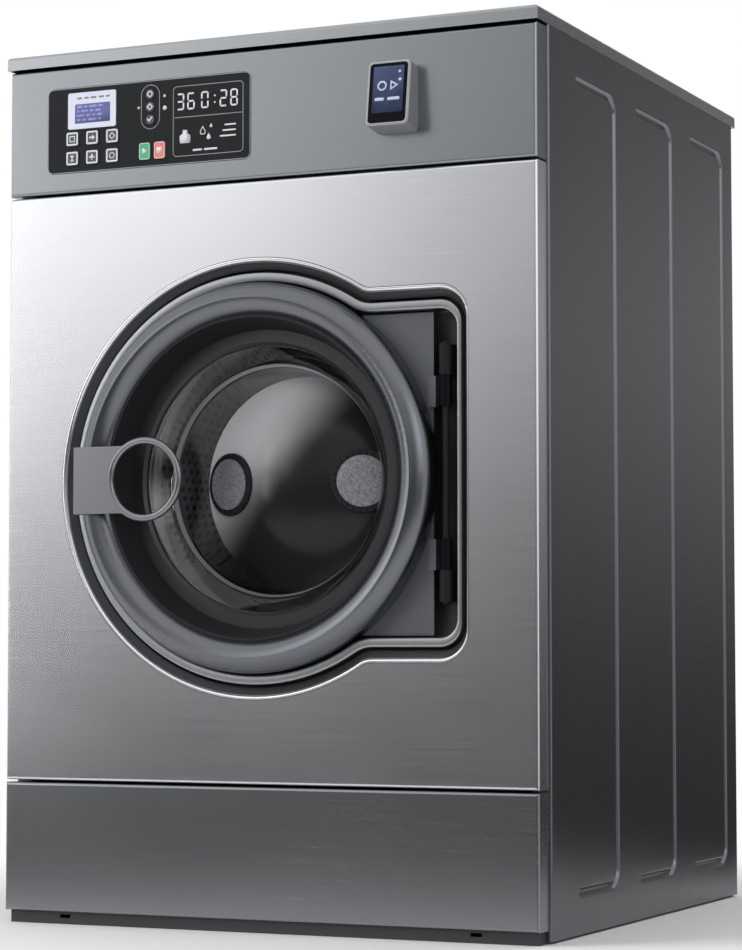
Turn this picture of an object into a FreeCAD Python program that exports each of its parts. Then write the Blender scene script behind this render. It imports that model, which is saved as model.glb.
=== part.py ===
import FreeCAD, Part
import math
import os
import re
import Sketcher

V = FreeCAD.Vector

# Driving sizes in millimetres: name, value, what it measures
SIZES = [
    ("cab_width", 786, "overall width across the side panels"),
    ("cab_depth", 810, "front face to rear face"),
    ("front_height", 1165, "floor to the top of the front panels"),
    ("sheet", 2, "panel sheet thickness"),
    ("front_inset", 3.5, "side panel standing out past the front panels"),
    ("front_return", 34, "depth of the front panels' folded edges"),
    ("panel_seam", 3, "seam between the front panels and below the lid"),
    ("fit_gap", 0.4, "gap between pieces that meet"),
    ("edge_round", 4, "rounding of the front panels' edges"),
    ("kick_bottom", 17, "floor to the kick panel"),
    ("kick_height", 173, "kick panel height"),
    ("fascia_height", 173, "control fascia height"),
    ("lid_height", 18.5, "lid thickness"),
    ("lid_nose", 3.5, "lid standing out past the front"),
    ("lid_overhang", 15, "lid standing out past the rear"),
    ("lid_round", 5, "rounding of the lid's top edges"),
    ("side_flange", 24, "folded flange of a side panel"),
    ("side_bottom", 3, "floor to the side panel"),
    ("bead_width", 12, "pressed bead width"),
    ("bead_depth", 5, "pressed bead depth"),
    ("bead_round", 26, "outer corner radius of a bead"),
    ("bead_start", 133, "front face to the open end of the first bead"),
    ("bead_reach", 153, "open end of a bead to its upright's rear edge"),
    ("bead_margin_rear", 99, "cabinet depth left over by three bead pitches"),
    ("bead_margin", 48, "bead to the side panel's top and bottom edges"),
    ("base_height", 60, "base frame height"),
    ("base_setback", 10, "front face to the base frame"),
    ("base_inset", 8, "base frame inside the cabinet's sides"),
    ("rail_width", 50, "base rail width"),
    ("rail_wall", 4, "base rail wall"),
    ("anchor_radius", 7, "floor bolt hole radius"),
    ("anchor_inset", 27, "floor bolt hole to the rail's outer face"),
    ("notch_width", 16, "slot in the base's front web"),
    ("notch_height", 5, "slot in the base's front web"),
    ("notch_x", 300, "slot to the centre line"),
    ("door_x", -11, "door and drum axis, sideways"),
    ("door_rise", 4, "door and drum axis above the front panel's middle"),
    ("ring_outer", 257, "door ring outer radius"),
    ("ring_inner", 215, "door ring inner radius"),
    ("ring_crest", 28, "door ring crest ahead of the front face"),
    ("ring_lip", 14, "door ring inner edge ahead of the front face"),
    ("ring_shoulder", 8, "door ring outer edge ahead of the front face"),
    ("ring_back", 14, "front face to the door ring's back"),
    ("ring_arc", 27, "radius of the ring's rounded face"),
    ("skirt_step", 12.5, "ring inner edge to the skirt's inside"),
    ("skirt_wall", 3, "skirt wall of the door ring"),
    ("skirt_back", 48, "front face to the skirt's end"),
    ("skirt_lip", 6.5, "inward lip of the skirt"),
    ("cone_end", 22, "front face to the end of the ring's cone"),
    ("funnel_wall", 4, "funnel lining wall"),
    ("funnel_end", 26, "front face to the funnel's end"),
    ("clamp_width", 24, "glass clamp ring width"),
    ("clamp_depth", 9.7, "glass clamp ring thickness"),
    ("clamp_bevel", 4, "bevel on the clamp ring's inner edge"),
    ("bowl_wall", 6, "glass wall"),
    ("bowl_flange", 8, "glass flange thickness"),
    ("neck_step", 26, "clamp ring to the bowl's shoulder, radially"),
    ("shoulder_depth", 66, "front face to the bowl's shoulder"),
    ("bowl_taper", 6, "shoulder to the bowl's end, radially"),
    ("bowl_depth", 150, "front face to the bowl's end"),
    ("dome_rise", 45, "rise of the domed end"),
    ("pad_radius", 43, "round pad on the bowl"),
    ("pad_offset", 100, "pad centre to the bowl's axis"),
    ("pad_height", 4, "pad standing off the dome"),
    ("door_gap", 2.5, "door to the surround"),
    ("rim_width", 12.5, "surround's inner rim"),
    ("rim_front", 3, "front face to the inner rim"),
    ("groove_width", 4, "surround's dark groove"),
    ("groove_depth", 24, "front face to the groove's floor"),
    ("bevel_width", 16, "surround's sloped lip"),
    ("bevel_depth", 10, "front face to the end of the sloped lip"),
    ("side_rim", 6, "inner rim beside the hinge"),
    ("side_groove", 3, "groove beside the hinge"),
    ("side_bevel", 9, "sloped lip beside the hinge"),
    ("rim_corner", 24, "corner radius at the inner rim"),
    ("mouth_blend", 26, "fillet where the round and square outlines meet"),
    ("surround_gap", 0.5, "surround to the front panel"),
    ("pan_depth", 33, "front face to the surround's back"),
    ("pan_floor", 3, "surround's floor thickness"),
    ("pan_gap", 6.5, "door skirt to the surround's hole"),
    ("plate_half", 208, "half the hinge plate's height"),
    ("plate_left", 140, "door axis to the hinge plate's left edge"),
    ("plate_edge", 5, "hinge plate inside the ring's outer edge"),
    ("plate_thick", 8, "hinge plate thickness"),
    ("hinge_offset", 16, "ring's outer edge to the hinge axis"),
    ("hinge_depth", 4, "front face to the hinge axis"),
    ("knuckle_radius", 8, "hinge knuckle radius"),
    ("knuckle_length", 40, "hinge knuckle length"),
    ("knuckle_high", 165, "door axis to the outer knuckle's end"),
    ("hinge_room", 7.5, "knuckle to the surround's rim"),
    ("pin_radius", 4, "hinge pin radius"),
    ("pin_fit", 0.05, "running clearance of a pin"),
    ("pin_over", 3, "hinge pin past the knuckles"),
    ("leaf_thick", 3.6, "fixed hinge leaf thickness"),
    ("leaf_half", 13, "half the fixed hinge leaf's width"),
    ("arm_half", 6, "half a fixed hinge arm's width"),
    ("handle_pin_inset", 11, "ring's outer edge to the handle pin"),
    ("handle_pin_depth", 5, "handle pin ahead of the front face"),
    ("handle_pin_radius", 3, "handle pin radius"),
    ("handle_pin_over", 8, "handle pin end past the strap"),
    ("handle_knuckle", 7, "handle knuckle radius"),
    ("strap_half", 45, "half the strap's height"),
    ("strap_thick", 8, "strap thickness"),
    ("strap_round", 3, "strap edge rounding"),
    ("strap_gap", 1, "strap to the ring's crest"),
    ("loop_offset", 146, "door axis to the loop's centre"),
    ("loop_radius", 51.5, "loop's middle radius"),
    ("loop_wire", 5, "loop's section radius"),
    ("tongue_inset", 22, "surround's hole to the tongue's centre"),
    ("tongue_thick", 10, "tongue thickness"),
    ("tongue_half", 20, "half the tongue's height"),
    ("tongue_back", 62, "front face to the tongue's tip"),
    ("tongue_slack", 5, "tongue to its slot"),
    ("bolt_radius", 5, "lock bolt radius"),
    ("bolt_length", 38, "lock bolt length"),
    ("bolt_depth", 50, "front face to the lock bolt"),
    ("bolt_back", 15, "lock bolt's tip short of the tongue's middle"),
    ("bolt_slack", 0.4, "lock bolt to its bore"),
    ("strike_room", 3, "lock bolt to the tongue's window"),
    ("lock_back", 86, "front face to the lock housing's back"),
    ("lock_half", 35, "half the lock housing's height"),
    ("lock_left", 55, "tongue centre to the housing's left face"),
    ("lock_right", 12, "tongue centre to the housing's right face"),
    ("gasket_wall", 3, "gasket wall"),
    ("gasket_inset", 3, "gasket inside the surround's hole"),
    ("gasket_fold", 5, "outward fold of the gasket"),
    ("tub_front_depth", 94, "front face to the tub's front plate"),
    ("tub_sheet", 4, "tub plate thickness"),
    ("tub_gap", 25, "drum to tub"),
    ("drum_margin", 83, "cabinet side to the drum's inside, with the axis in the middle"),
    ("drum_sheet", 3, "drum sheet"),
    ("drum_gap", 14, "tub front plate to the drum"),
    ("rear_room", 74.6, "drum pulley to the rear face"),
    ("drum_lip", 12, "rolled lip at the drum's mouth"),
    ("drum_dish", 30, "dish of the drum's back"),
    ("lifter_height", 62, "lifter height"),
    ("lifter_foot", 40, "half the lifter's foot"),
    ("lifter_top", 12, "half the lifter's top"),
    ("lifter_inset", 35, "lifter to the drum's ends"),
    ("lifter_count", 3, "lifters"),
    ("flange_radius", 90, "drum shaft flange radius"),
    ("flange_thick", 8, "drum shaft flange thickness"),
    ("shaft_radius", 25, "drum shaft radius"),
    ("shaft_over", 6, "drum shaft past its pulley"),
    ("bearing_radius", 45, "bearing outer radius"),
    ("bearing_width", 20, "bearing width"),
    ("bearing_groove", 2, "groove in the bearing's face"),
    ("housing_radius", 62, "bearing housing outer radius"),
    ("housing_flange", 150, "bearing housing flange radius"),
    ("housing_plate", 14, "bearing housing flange thickness"),
    ("housing_length", 138, "bearing housing length"),
    ("pulley_gap", 12, "bearing housing to the pulley"),
    ("pulley_radius", 190, "drum pulley radius"),
    ("pulley_width", 36, "pulley width"),
    ("pulley_rim", 12, "drum pulley rim"),
    ("pulley_web", 8, "drum pulley web"),
    ("pulley_hub", 45, "drum pulley hub radius"),
    ("belt_width", 28, "belt width"),
    ("belt_thick", 5, "belt thickness"),
    ("motor_x", 121, "door axis to the motor axis"),
    ("motor_z", 165, "motor axis above the floor"),
    ("motor_radius", 80, "motor housing radius"),
    ("motor_room", 8, "tub back to the motor"),
    ("motor_bell", 12, "step of the motor's end bells"),
    ("motor_gap", 10, "motor to its pulley"),
    ("motor_shaft_radius", 12.5, "motor shaft radius"),
    ("motor_shaft_inside", 90, "motor shaft inside the housing"),
    ("motor_pulley_radius", 30, "motor pulley radius"),
    ("bracket_thick", 8, "motor bracket plate"),
    ("bracket_length", 110, "motor bracket depth"),
    ("cradle_half", 60, "half the motor cradle's width"),
    ("cradle_rise", 40, "motor cradle up the motor's side"),
    ("saddle_thick", 8, "tub saddle plate"),
    ("saddle_inset", 82, "tub front plate to the front saddle"),
    ("saddle_back", 125, "rear saddle to the tub's back plate"),
    ("saddle_rise", 75, "saddle up the tub's side"),
    ("window_half", 140, "half the saddle's window"),
    ("saddle_bridge", 51, "saddle window to the tub"),
    ("support_inset", 5, "saddles and motor bracket inside the base frame's sides"),
    ("valve_pitch", 100, "inlet to inlet"),
    ("valve_drop", 85, "top of the front to the inlets"),
    ("valve_half", 22, "half an inlet valve's body"),
    ("valve_depth", 45, "inlet valve body depth"),
    ("inlet_radius", 13.2, "inlet stub radius"),
    ("inlet_bore", 9, "inlet stub bore"),
    ("inlet_out", 25, "inlet stub past the rear face"),
    ("stub_neck", 1.2, "step down to a stub's neck"),
    ("stub_free", 3, "neck past the rear face"),
    ("hole_slack", 0.8, "stub to its hole in the rear panel"),
    ("nipple_radius", 8, "valve outlet radius"),
    ("nipple_length", 20, "valve outlet length"),
    ("hose_radius", 11, "fill hose radius"),
    ("hose_bore", 7, "fill hose bore"),
    ("hose_bend", 20, "fill hose bend radius"),
    ("hose_inset", 65, "fill hose's drop to the tub's back"),
    ("drain_z", 120, "drain above the floor"),
    ("drain_inset", 215, "drain hose's drop to the tub's back"),
    ("drain_hose_radius", 22, "drain hose radius"),
    ("drain_hose_bore", 18, "drain hose bore"),
    ("drain_bend", 45, "drain hose bend radius"),
    ("drain_reach", 210, "drain valve's front to the rear face"),
    ("drain_valve_length", 95, "drain valve body length"),
    ("drain_valve_radius", 34, "drain valve body radius"),
    ("drain_radius", 25, "drain outlet radius"),
    ("drain_bore", 21, "drain outlet bore"),
    ("drain_out", 40, "drain outlet past the rear face"),
    ("power_side", 193, "side of the cabinet to the power box"),
    ("power_width", 120, "power box width"),
    ("power_drop", 165, "top of the front to the power box's bottom"),
    ("power_height", 100, "power box height"),
    ("power_depth", 60, "power box depth"),
    ("gland_radius", 14, "cable gland radius"),
    ("gland_bore", 8, "cable gland bore"),
    ("gland_out", 24, "cable gland past the rear face"),
    ("screw_radius", 5, "rear screw head radius"),
    ("screw_height", 3, "rear screw head height"),
    ("screw_inset", 13, "rear screw to the cabinet's side"),
    ("screw_first", 120, "floor to the first rear screw"),
    ("screw_pitch", 230, "rear screw to rear screw"),
    ("screw_count", 5, "rear screws on each side"),
    ("plate_x", -173, "control plate's centre"),
    ("plate_drop", 87, "top of the front to the control plate's centre"),
    ("plate_width", 313, "control plate width"),
    ("plate_height", 117.5, "control plate height"),
    ("plate_corner", 10, "control plate corner radius"),
    ("plate_front", 0.6, "control plate ahead of the front face"),
    ("plate_depth", 3, "front face to the control plate's back"),
    ("lcd_x", -259.5, "display module's centre"),
    ("lcd_rise", 26, "display module above the control plate's centre"),
    ("lcd_width", 75, "display module width"),
    ("lcd_height", 50, "display module height"),
    ("lcd_front", 1.6, "display module ahead of the front face"),
    ("lcd_depth", 9, "front face to the display module's back"),
    ("lcd_corner", 3, "display module corner radius"),
    ("key_x", -258.5, "middle key column"),
    ("key_pitch", 31.2, "key column to key column"),
    ("key_drop", 39.2, "lower key row below the control plate's centre"),
    ("key_rise", 26.8, "key row to key row"),
    ("key_size", 19, "square key width and height"),
    ("key_corner", 3, "square key corner radius"),
    ("round_x", -168.7, "round keys' column"),
    ("round_rise", 22.5, "middle round key above the control plate's centre"),
    ("round_pitch", 17.4, "round key to round key"),
    ("round_radius", 6.5, "round key radius"),
    ("start_x", -176.8, "start key's centre"),
    ("stop_x", -153.8, "stop key's centre"),
    ("start_drop", 37.5, "start and stop keys below the control plate's centre"),
    ("start_width", 16.6, "start and stop key width"),
    ("start_height", 23, "start and stop key height"),
    ("key_front", 2.2, "key face ahead of the front face"),
    ("key_slack", 0.4, "key to its hole"),
    ("key_flange", 1.2, "flange round a key's foot"),
    ("key_foot", 2, "key foot thickness"),
    ("board_depth", 12, "front face to the control board"),
    ("board_thick", 1.6, "control board thickness"),
    ("board_margin", 12, "control board inside the plate"),
    ("post_radius", 3, "control board post radius"),
    ("post_inset", 5, "post to the control board's edge"),
    ("terminal_x", 196.3, "terminal's centre"),
    ("terminal_drop", 85, "top of the front to the terminal's centre"),
    ("terminal_width", 60.5, "terminal width"),
    ("terminal_height", 87.5, "terminal height"),
    ("terminal_depth", 30, "terminal ahead of the front face"),
    ("terminal_corner", 7, "terminal corner radius"),
    ("terminal_edge", 2.5, "terminal front edge rounding"),
    ("terminal_lean", 8, "tilt of the terminal's face in degrees"),
    ("screen_margin", 4, "terminal screen inside the housing's edge"),
    ("screen_depth", 2, "terminal screen's seat"),
    ("screen_corner", 5, "terminal screen corner radius"),
]

# Places worked out from the driving sizes
PLACES = {
    "front": "-cab_depth / 2",
    "rear": "cab_depth / 2",
    "side": "cab_width / 2",
    "panel_side": "side - front_inset",
    "returned": "front + front_return",
    "kick_top": "kick_bottom + kick_height",
    "fascia_bottom": "front_height - fascia_height",
    "lid_bottom": "front_height + panel_seam",
    "side_top": "lid_bottom - fit_gap",
    "base_side": "side - base_inset",
    "base_front": "front + base_setback",
    "base_rear": "rear - sheet - fit_gap",
    "wall_front": "rear - 2 * sheet - fit_gap",
    "bead_pitch": "(cab_depth - bead_margin_rear) / 3",
    "door_z": "(fascia_bottom + kick_top) / 2 + door_rise",
    "drum_radius": "side - drum_margin",
    "support_half": "base_side - support_inset",
    "hinge_x": "ring_outer + hinge_offset",
    "hinge_y": "front + hinge_depth",
    "rim_radius": "ring_outer + door_gap",
    "rim_half": "plate_half + door_gap",
    "rim_right": "hinge_x + knuckle_radius + hinge_room",
    "skirt_inner": "ring_inner - skirt_step",
    "skirt_outer": "skirt_inner + skirt_wall",
    "pan_hole": "skirt_outer + pan_gap",
    "clamp_outer": "skirt_inner - fit_gap",
    "clamp_inner": "clamp_outer - clamp_width",
    "clamp_front": "front + funnel_end + fit_gap",
    "clamp_back": "clamp_front + clamp_depth",
    "glass_front": "clamp_back + fit_gap",
    "glass_back": "glass_front + bowl_flange",
    "shoulder_radius": "clamp_inner - neck_step",
    "bowl_radius": "shoulder_radius - bowl_taper",
    "bowl_end": "front + bowl_depth",
    "dome_radius": "(bowl_radius * bowl_radius + dome_rise * dome_rise) / (2 * dome_rise)",
    "dome_centre": "bowl_end - dome_rise + dome_radius",
    "dome_outer_rise": "dome_outer_radius - sqrt(dome_outer_radius^2 - outer_bowl_radius^2)",
    "outer_bowl_radius": "bowl_radius + bowl_wall",
    "dome_outer_radius": "dome_radius - bowl_wall",
    "handle_y": "front - ring_crest - strap_gap",
    "pin_y": "front - handle_pin_depth",
    "handle_pin_x": "ring_outer - handle_pin_inset",
    "tongue_x": "door_x - pan_hole - tongue_inset",
    "bolt_y": "front + bolt_depth",
    "pan_back": "front + pan_depth",
    "gasket_inner": "pan_hole - gasket_inset",
    "gasket_outer": "gasket_inner + gasket_wall",
    "tub_face": "front + tub_front_depth",
    "tub_plate_back": "tub_face + tub_sheet",
    "tub_inner": "drum_radius + tub_gap",
    "tub_outer": "tub_inner + tub_sheet",
    "drum_face": "tub_plate_back + drum_gap",
    "pulley_end": "rear - rear_room",
    "pulley_face": "pulley_end - pulley_width",
    "housing_end": "pulley_face - pulley_gap",
    "housing_face": "housing_end - housing_length",
    "tub_back_end": "housing_face - fit_gap",
    "tub_back_face": "tub_back_end - tub_sheet",
    "drum_end": "tub_back_face - tub_gap",
    "drum_depth": "drum_end - (drum_face)",
    "drum_outer": "drum_radius + drum_sheet",
    "motor_axis_x": "door_x + motor_x",
    "motor_end": "pulley_face - motor_gap",
    "motor_face": "tub_back_end + motor_room",
    "motor_length": "motor_end - (motor_face)",
    "bracket_top": "base_height + bracket_thick",
    "bracket_face": "motor_face + motor_bell",
    "tub_top": "door_z + tub_outer",
    "valve_z": "front_height - valve_drop",
    "nipple_end": "valve_z - valve_half - nipple_length",
    "hose_level": "(tub_top + nipple_end) / 2",
    "drain_valve_face": "rear - drain_reach",
    "power_bottom": "front_height - power_drop",
    "power_x": "cab_width / 2 - power_side",
    "plate_z": "front_height - plate_drop",
    "lcd_z": "plate_z + lcd_rise",
    "key_z": "plate_z - key_drop",
    "round_z": "plate_z + round_rise",
    "start_z": "plate_z - start_drop",
    "terminal_z": "front_height - terminal_drop",
    "key_back": "front + plate_depth + fit_gap",
    "board_face": "front + board_depth",
}

doc = FreeCAD.newDocument("washer")
dims = doc.addObject("Spreadsheet::Sheet", "dims")
for row, (alias, value, meaning) in enumerate(SIZES, start=1):
    dims.set(f"A{row}", meaning)
    dims.set(f"B{row}", str(value))
    dims.setAlias(f"B{row}", alias)
doc.recompute()

SIZE_NAMES = {alias for alias, value, meaning in SIZES}
PARTS = []


def formula(text):
    """Write out a size in words as an expression on the sheet."""

    def expand(match):
        word = match.group(0)
        if word in SIZE_NAMES:
            return f"dims.{word}"
        if word in PLACES:
            return f"({formula(PLACES[word])})"
        return word

    return re.sub(r"[a-z][a-z_]*", expand, str(text))


def number(text):
    """The present value of a size in words."""
    return float(dims.evalExpression(formula(text)))


def bind(item, **sizes):
    for name, text in sizes.items():
        item.setExpression(name, formula(text))


def place(item, x, y, z):
    for axis, text in zip("xyz", (x, y, z)):
        item.setExpression(f".Placement.Base.{axis}", formula(text))


def part(label, item):
    """Name a finished sub-part."""
    item.Label = label
    PARTS.append(item)
    return item


# Basic solids

TURNS = {
    "x": FreeCAD.Rotation(V(0, 1, 0), 90),
    "y": FreeCAD.Rotation(V(1, 0, 0), -90),
    "z": FreeCAD.Rotation(),
}


def block(x, y, z):
    """A box between two places on each axis."""
    item = doc.addObject("Part::Box", "block")
    bind(item, Length=f"({x[1]}) - ({x[0]})", Width=f"({y[1]}) - ({y[0]})", Height=f"({z[1]}) - ({z[0]})")
    place(item, x[0], y[0], z[0])
    return item


def rod(axis, x, y, z, radius, length):
    """A cylinder that starts at a point and runs along an axis."""
    item = doc.addObject("Part::Cylinder", "rod")
    item.Placement.Rotation = TURNS[axis]
    bind(item, Radius=radius, Height=length)
    place(item, x, y, z)
    return item


def join(*items):
    fused = doc.addObject("Part::MultiFuse", "join")
    fused.Shapes = list(items)
    fused.Refine = True
    return fused


def cut(base, *tools):
    result = doc.addObject("Part::Cut", "cut")
    result.Base = base
    result.Tool = tools[0] if len(tools) == 1 else join(*tools)
    result.Refine = True
    return result


def shared(first, second):
    result = doc.addObject("Part::Common", "shared")
    result.Base = first
    result.Tool = second
    return result


def group(*items):
    result = doc.addObject("Part::Compound", "group")
    result.Links = list(items)
    return result


def mirrored(base):
    """The same piece on the other side of the centre line."""
    result = doc.addObject("Part::Mirroring", "mirrored")
    result.Source = base
    result.Normal = V(1, 0, 0)
    return result


def rounded(base, radius, wanted):
    """Round the edges that the test picks."""
    doc.recompute()
    size = number(radius)
    result = doc.addObject("Part::Fillet", "rounded")
    result.Base = base
    result.Edges = [
        (index, size, size)
        for index, edge in enumerate(base.Shape.Edges, start=1)
        if wanted(edge)
    ]
    return result


def along(axis):
    """A test for straight edges along an axis."""

    def wanted(edge):
        if not isinstance(edge.Curve, Part.Line):
            return False
        return abs(getattr(edge.Curve.Direction, axis)) > math.cos(math.radians(1))

    return wanted


def in_plane(axis, text):
    """A test for edges that lie in a plane square to an axis."""
    level = number(text)
    slack = number("fit_gap") / number("cab_depth")

    def wanted(edge):
        box = edge.BoundBox
        low = getattr(box, f"{axis.upper()}Min")
        high = getattr(box, f"{axis.upper()}Max")
        return abs(low - level) < slack and abs(high - level) < slack

    return wanted


def soft_block(x, y, z, axis, radius):
    """A box with its four edges along one axis rounded."""
    return rounded(block(x, y, z), radius, along(axis))


# Sketched solids

def plane(body, role):
    return next(item for item in body.Origin.OriginFeatures if item.Role == role)


def new_sketch(body, role):
    sketch = body.newObject("Sketcher::SketchObject", "outline")
    sketch.AttachmentSupport = [(plane(body, role), "")]
    sketch.MapMode = "FlatFace"
    return sketch


def hold(sketch, kind, *target, size):
    """Add a driven constraint."""
    index = sketch.addConstraint(Sketcher.Constraint(kind, *target, number(size)))
    sketch.setExpression(f"Constraints[{index}]", formula(size))


def arc_between(start, end, radius, side):
    """An arc from start to end whose centre lies to the given side of the chord."""
    chord = end - start
    middle = (start + end) * 0.5
    across = V(-chord.y, chord.x, 0).normalize()
    rise = math.sqrt(radius * radius - chord.Length * chord.Length / 4)
    centre = middle + across * (side * rise)
    return Part.Arc(start, centre - across * (side * radius), end)


def draw_outline(sketch, corners):
    """Close an outline; a corner with a radius and a side starts an arc."""
    points = [V(number(corner[0]), number(corner[1]), 0) for corner in corners]
    ends = []
    for index, corner in enumerate(corners):
        start = points[index]
        end = points[(index + 1) % len(points)]
        if len(corner) > 2:
            edge = arc_between(start, end, number(corner[2]), corner[3])
        else:
            edge = Part.LineSegment(start, end)
        sketch.addGeometry(edge)
        forward = sketch.getPoint(index, 1).isEqual(start, number("pin_fit"))
        ends.append((1, 2) if forward else (2, 1))
    for index, corner in enumerate(corners):
        after = (index + 1) % len(corners)
        sketch.addConstraint(Sketcher.Constraint("Coincident", index, ends[index][1], after, ends[after][0]))
        if corner[0] == "0":
            sketch.addConstraint(Sketcher.Constraint("PointOnObject", index, ends[index][0], -2))
        else:
            hold(sketch, "DistanceX", -1, 1, index, ends[index][0], size=corner[0])
        hold(sketch, "DistanceY", -1, 1, index, ends[index][0], size=corner[1])
        if len(corner) > 2:
            hold(sketch, "Radius", index, size=corner[2])


def revolved(x, z, corners):
    """A solid of revolution about an axis that runs front to back."""
    body = doc.addObject("PartDesign::Body", "turned")
    sketch = new_sketch(body, "XY_Plane")
    draw_outline(sketch, corners)
    turn = body.newObject("PartDesign::Revolution", "turn")
    turn.Profile = sketch
    turn.ReferenceAxis = (sketch, ["V_Axis"])
    turn.Angle = 360
    place(body, x, "0", z)
    return body


def on_axis(corners):
    """A solid of revolution on the door and drum axis."""
    return revolved("door_x", "door_z", corners)


def tube_profile(inner, outer, start, end):
    return [(inner, start), (outer, start), (outer, end), (inner, end)]


def tangent_chain(sketch, count):
    """Join successive edges smoothly, end to end."""
    for index in range(count):
        after = (index + 1) % count
        sketch.addConstraint(Sketcher.Constraint("Tangent", index, 2, after, 1))


def padded(body, sketch, depth):
    pad = body.newObject("PartDesign::Pad", "pad")
    pad.Profile = sketch
    pad.Reversed = True
    bind(pad, Length=depth)
    return body


def keyhole_outline(body, radius, right, half, corner, blend):
    """A round outline that runs into a square one on its right."""
    big, wide, high = number(radius), number(right), number(half)
    bend, fillet = number(corner), number(blend)
    reach = math.sqrt((big + fillet) ** 2 - (high + fillet) ** 2)
    open_angle = math.atan2(high + fillet, reach)
    quarter = math.pi / 2
    up = V(0, 0, 1)

    def arc(x, y, size, start, end):
        return Part.ArcOfCircle(Part.Circle(V(x, y, 0), up, size), start, end)

    def line(x_start, y_start, x_end, y_end):
        return Part.LineSegment(V(x_start, y_start, 0), V(x_end, y_end, 0))

    sketch = new_sketch(body, "XZ_Plane")
    sketch.addGeometry(arc(0, 0, big, open_angle, 2 * math.pi - open_angle))
    sketch.addGeometry(arc(reach, -high - fillet, fillet, quarter, math.pi - open_angle))
    sketch.addGeometry(line(reach, -high, wide - bend, -high))
    sketch.addGeometry(arc(wide - bend, bend - high, bend, -quarter, 0))
    sketch.addGeometry(line(wide, bend - high, wide, high - bend))
    sketch.addGeometry(arc(wide - bend, high - bend, bend, 0, quarter))
    sketch.addGeometry(line(wide - bend, high, reach, high))
    sketch.addGeometry(arc(reach, high + fillet, fillet, open_angle - math.pi, -quarter))
    joints = [(0, 2, 1, 2), (1, 1, 2, 1), (2, 2, 3, 1), (3, 2, 4, 1)]
    joints += [(4, 2, 5, 1), (5, 2, 6, 1), (6, 2, 7, 2), (7, 1, 0, 1)]
    for joint in joints:
        sketch.addConstraint(Sketcher.Constraint("Tangent", *joint))
    sketch.addConstraint(Sketcher.Constraint("Coincident", 0, 3, -1, 1))
    sketch.addConstraint(Sketcher.Constraint("Horizontal", 2))
    sketch.addConstraint(Sketcher.Constraint("Horizontal", 6))
    sketch.addConstraint(Sketcher.Constraint("Vertical", 4))
    hold(sketch, "Radius", 0, size=radius)
    for index in (1, 7):
        hold(sketch, "Radius", index, size=blend)
    for index in (3, 5):
        hold(sketch, "Radius", index, size=corner)
    hold(sketch, "DistanceX", -1, 1, 4, 1, size=right)
    hold(sketch, "DistanceY", -1, 1, 6, 1, size=half)
    hold(sketch, "DistanceY", -1, 1, 2, 1, size=f"-({half})")
    return sketch


def keyhole_sizes(round_step, side_step):
    """The surround's outline, a step out from its inner rim."""
    return (
        f"rim_radius + {round_step}",
        f"rim_right + {side_step}",
        f"rim_half + {round_step}",
        f"rim_corner + {side_step}",
        f"mouth_blend + bevel_width + groove_width + rim_width - ({round_step})",
    )


def keyhole(step, start, depth):
    """A keyhole prism on the door axis."""
    body = doc.addObject("PartDesign::Body", "keyhole")
    sketch = keyhole_outline(body, *keyhole_sizes(*step))
    place(body, "door_x", f"front + {start}", "door_z")
    return padded(body, sketch, depth)


def keyhole_cone(first, last, depth):
    """A keyhole solid that narrows from one outline to the other."""
    body = doc.addObject("PartDesign::Body", "keyhole_cone")
    wide = keyhole_outline(body, *keyhole_sizes(*first))
    narrow = keyhole_outline(body, *keyhole_sizes(*last))
    bind(narrow, **{".AttachmentOffset.Base.z": f"-({depth})"})
    loft = body.newObject("PartDesign::AdditiveLoft", "loft")
    loft.Profile = wide
    loft.Sections = [narrow]
    loft.Ruled = True
    place(body, "door_x", "front", "door_z")
    return body


def loop_solid(radius_step, start, depth):
    """A belt-shaped solid round the two pulleys."""
    body = doc.addObject("PartDesign::Body", "loop")
    sketch = new_sketch(body, "XZ_Plane")
    big = number(f"pulley_radius + {radius_step}")
    small = number(f"motor_pulley_radius + {radius_step}")
    far = V(number("motor_x"), number("motor_z - door_z"), 0)
    heading = math.atan2(far.y, far.x)
    spread = math.acos((big - small) / far.Length)
    up = V(0, 0, 1)
    first = Part.ArcOfCircle(Part.Circle(V(), up, big), heading + spread, heading - spread + 2 * math.pi)
    last = Part.ArcOfCircle(Part.Circle(far, up, small), heading - spread, heading + spread)
    sketch.addGeometry(first)
    sketch.addGeometry(Part.LineSegment(first.EndPoint, last.StartPoint))
    sketch.addGeometry(last)
    sketch.addGeometry(Part.LineSegment(last.EndPoint, first.StartPoint))
    tangent_chain(sketch, sketch.GeometryCount)
    sketch.addConstraint(Sketcher.Constraint("Coincident", 0, 3, -1, 1))
    hold(sketch, "Radius", 0, size=f"pulley_radius + {radius_step}")
    hold(sketch, "Radius", 2, size=f"motor_pulley_radius + {radius_step}")
    hold(sketch, "DistanceX", -1, 1, 2, 3, size="motor_x")
    hold(sketch, "DistanceY", -1, 1, 2, 3, size="motor_z - door_z")
    place(body, "door_x", start, "door_z")
    return padded(body, sketch, depth)


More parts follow.
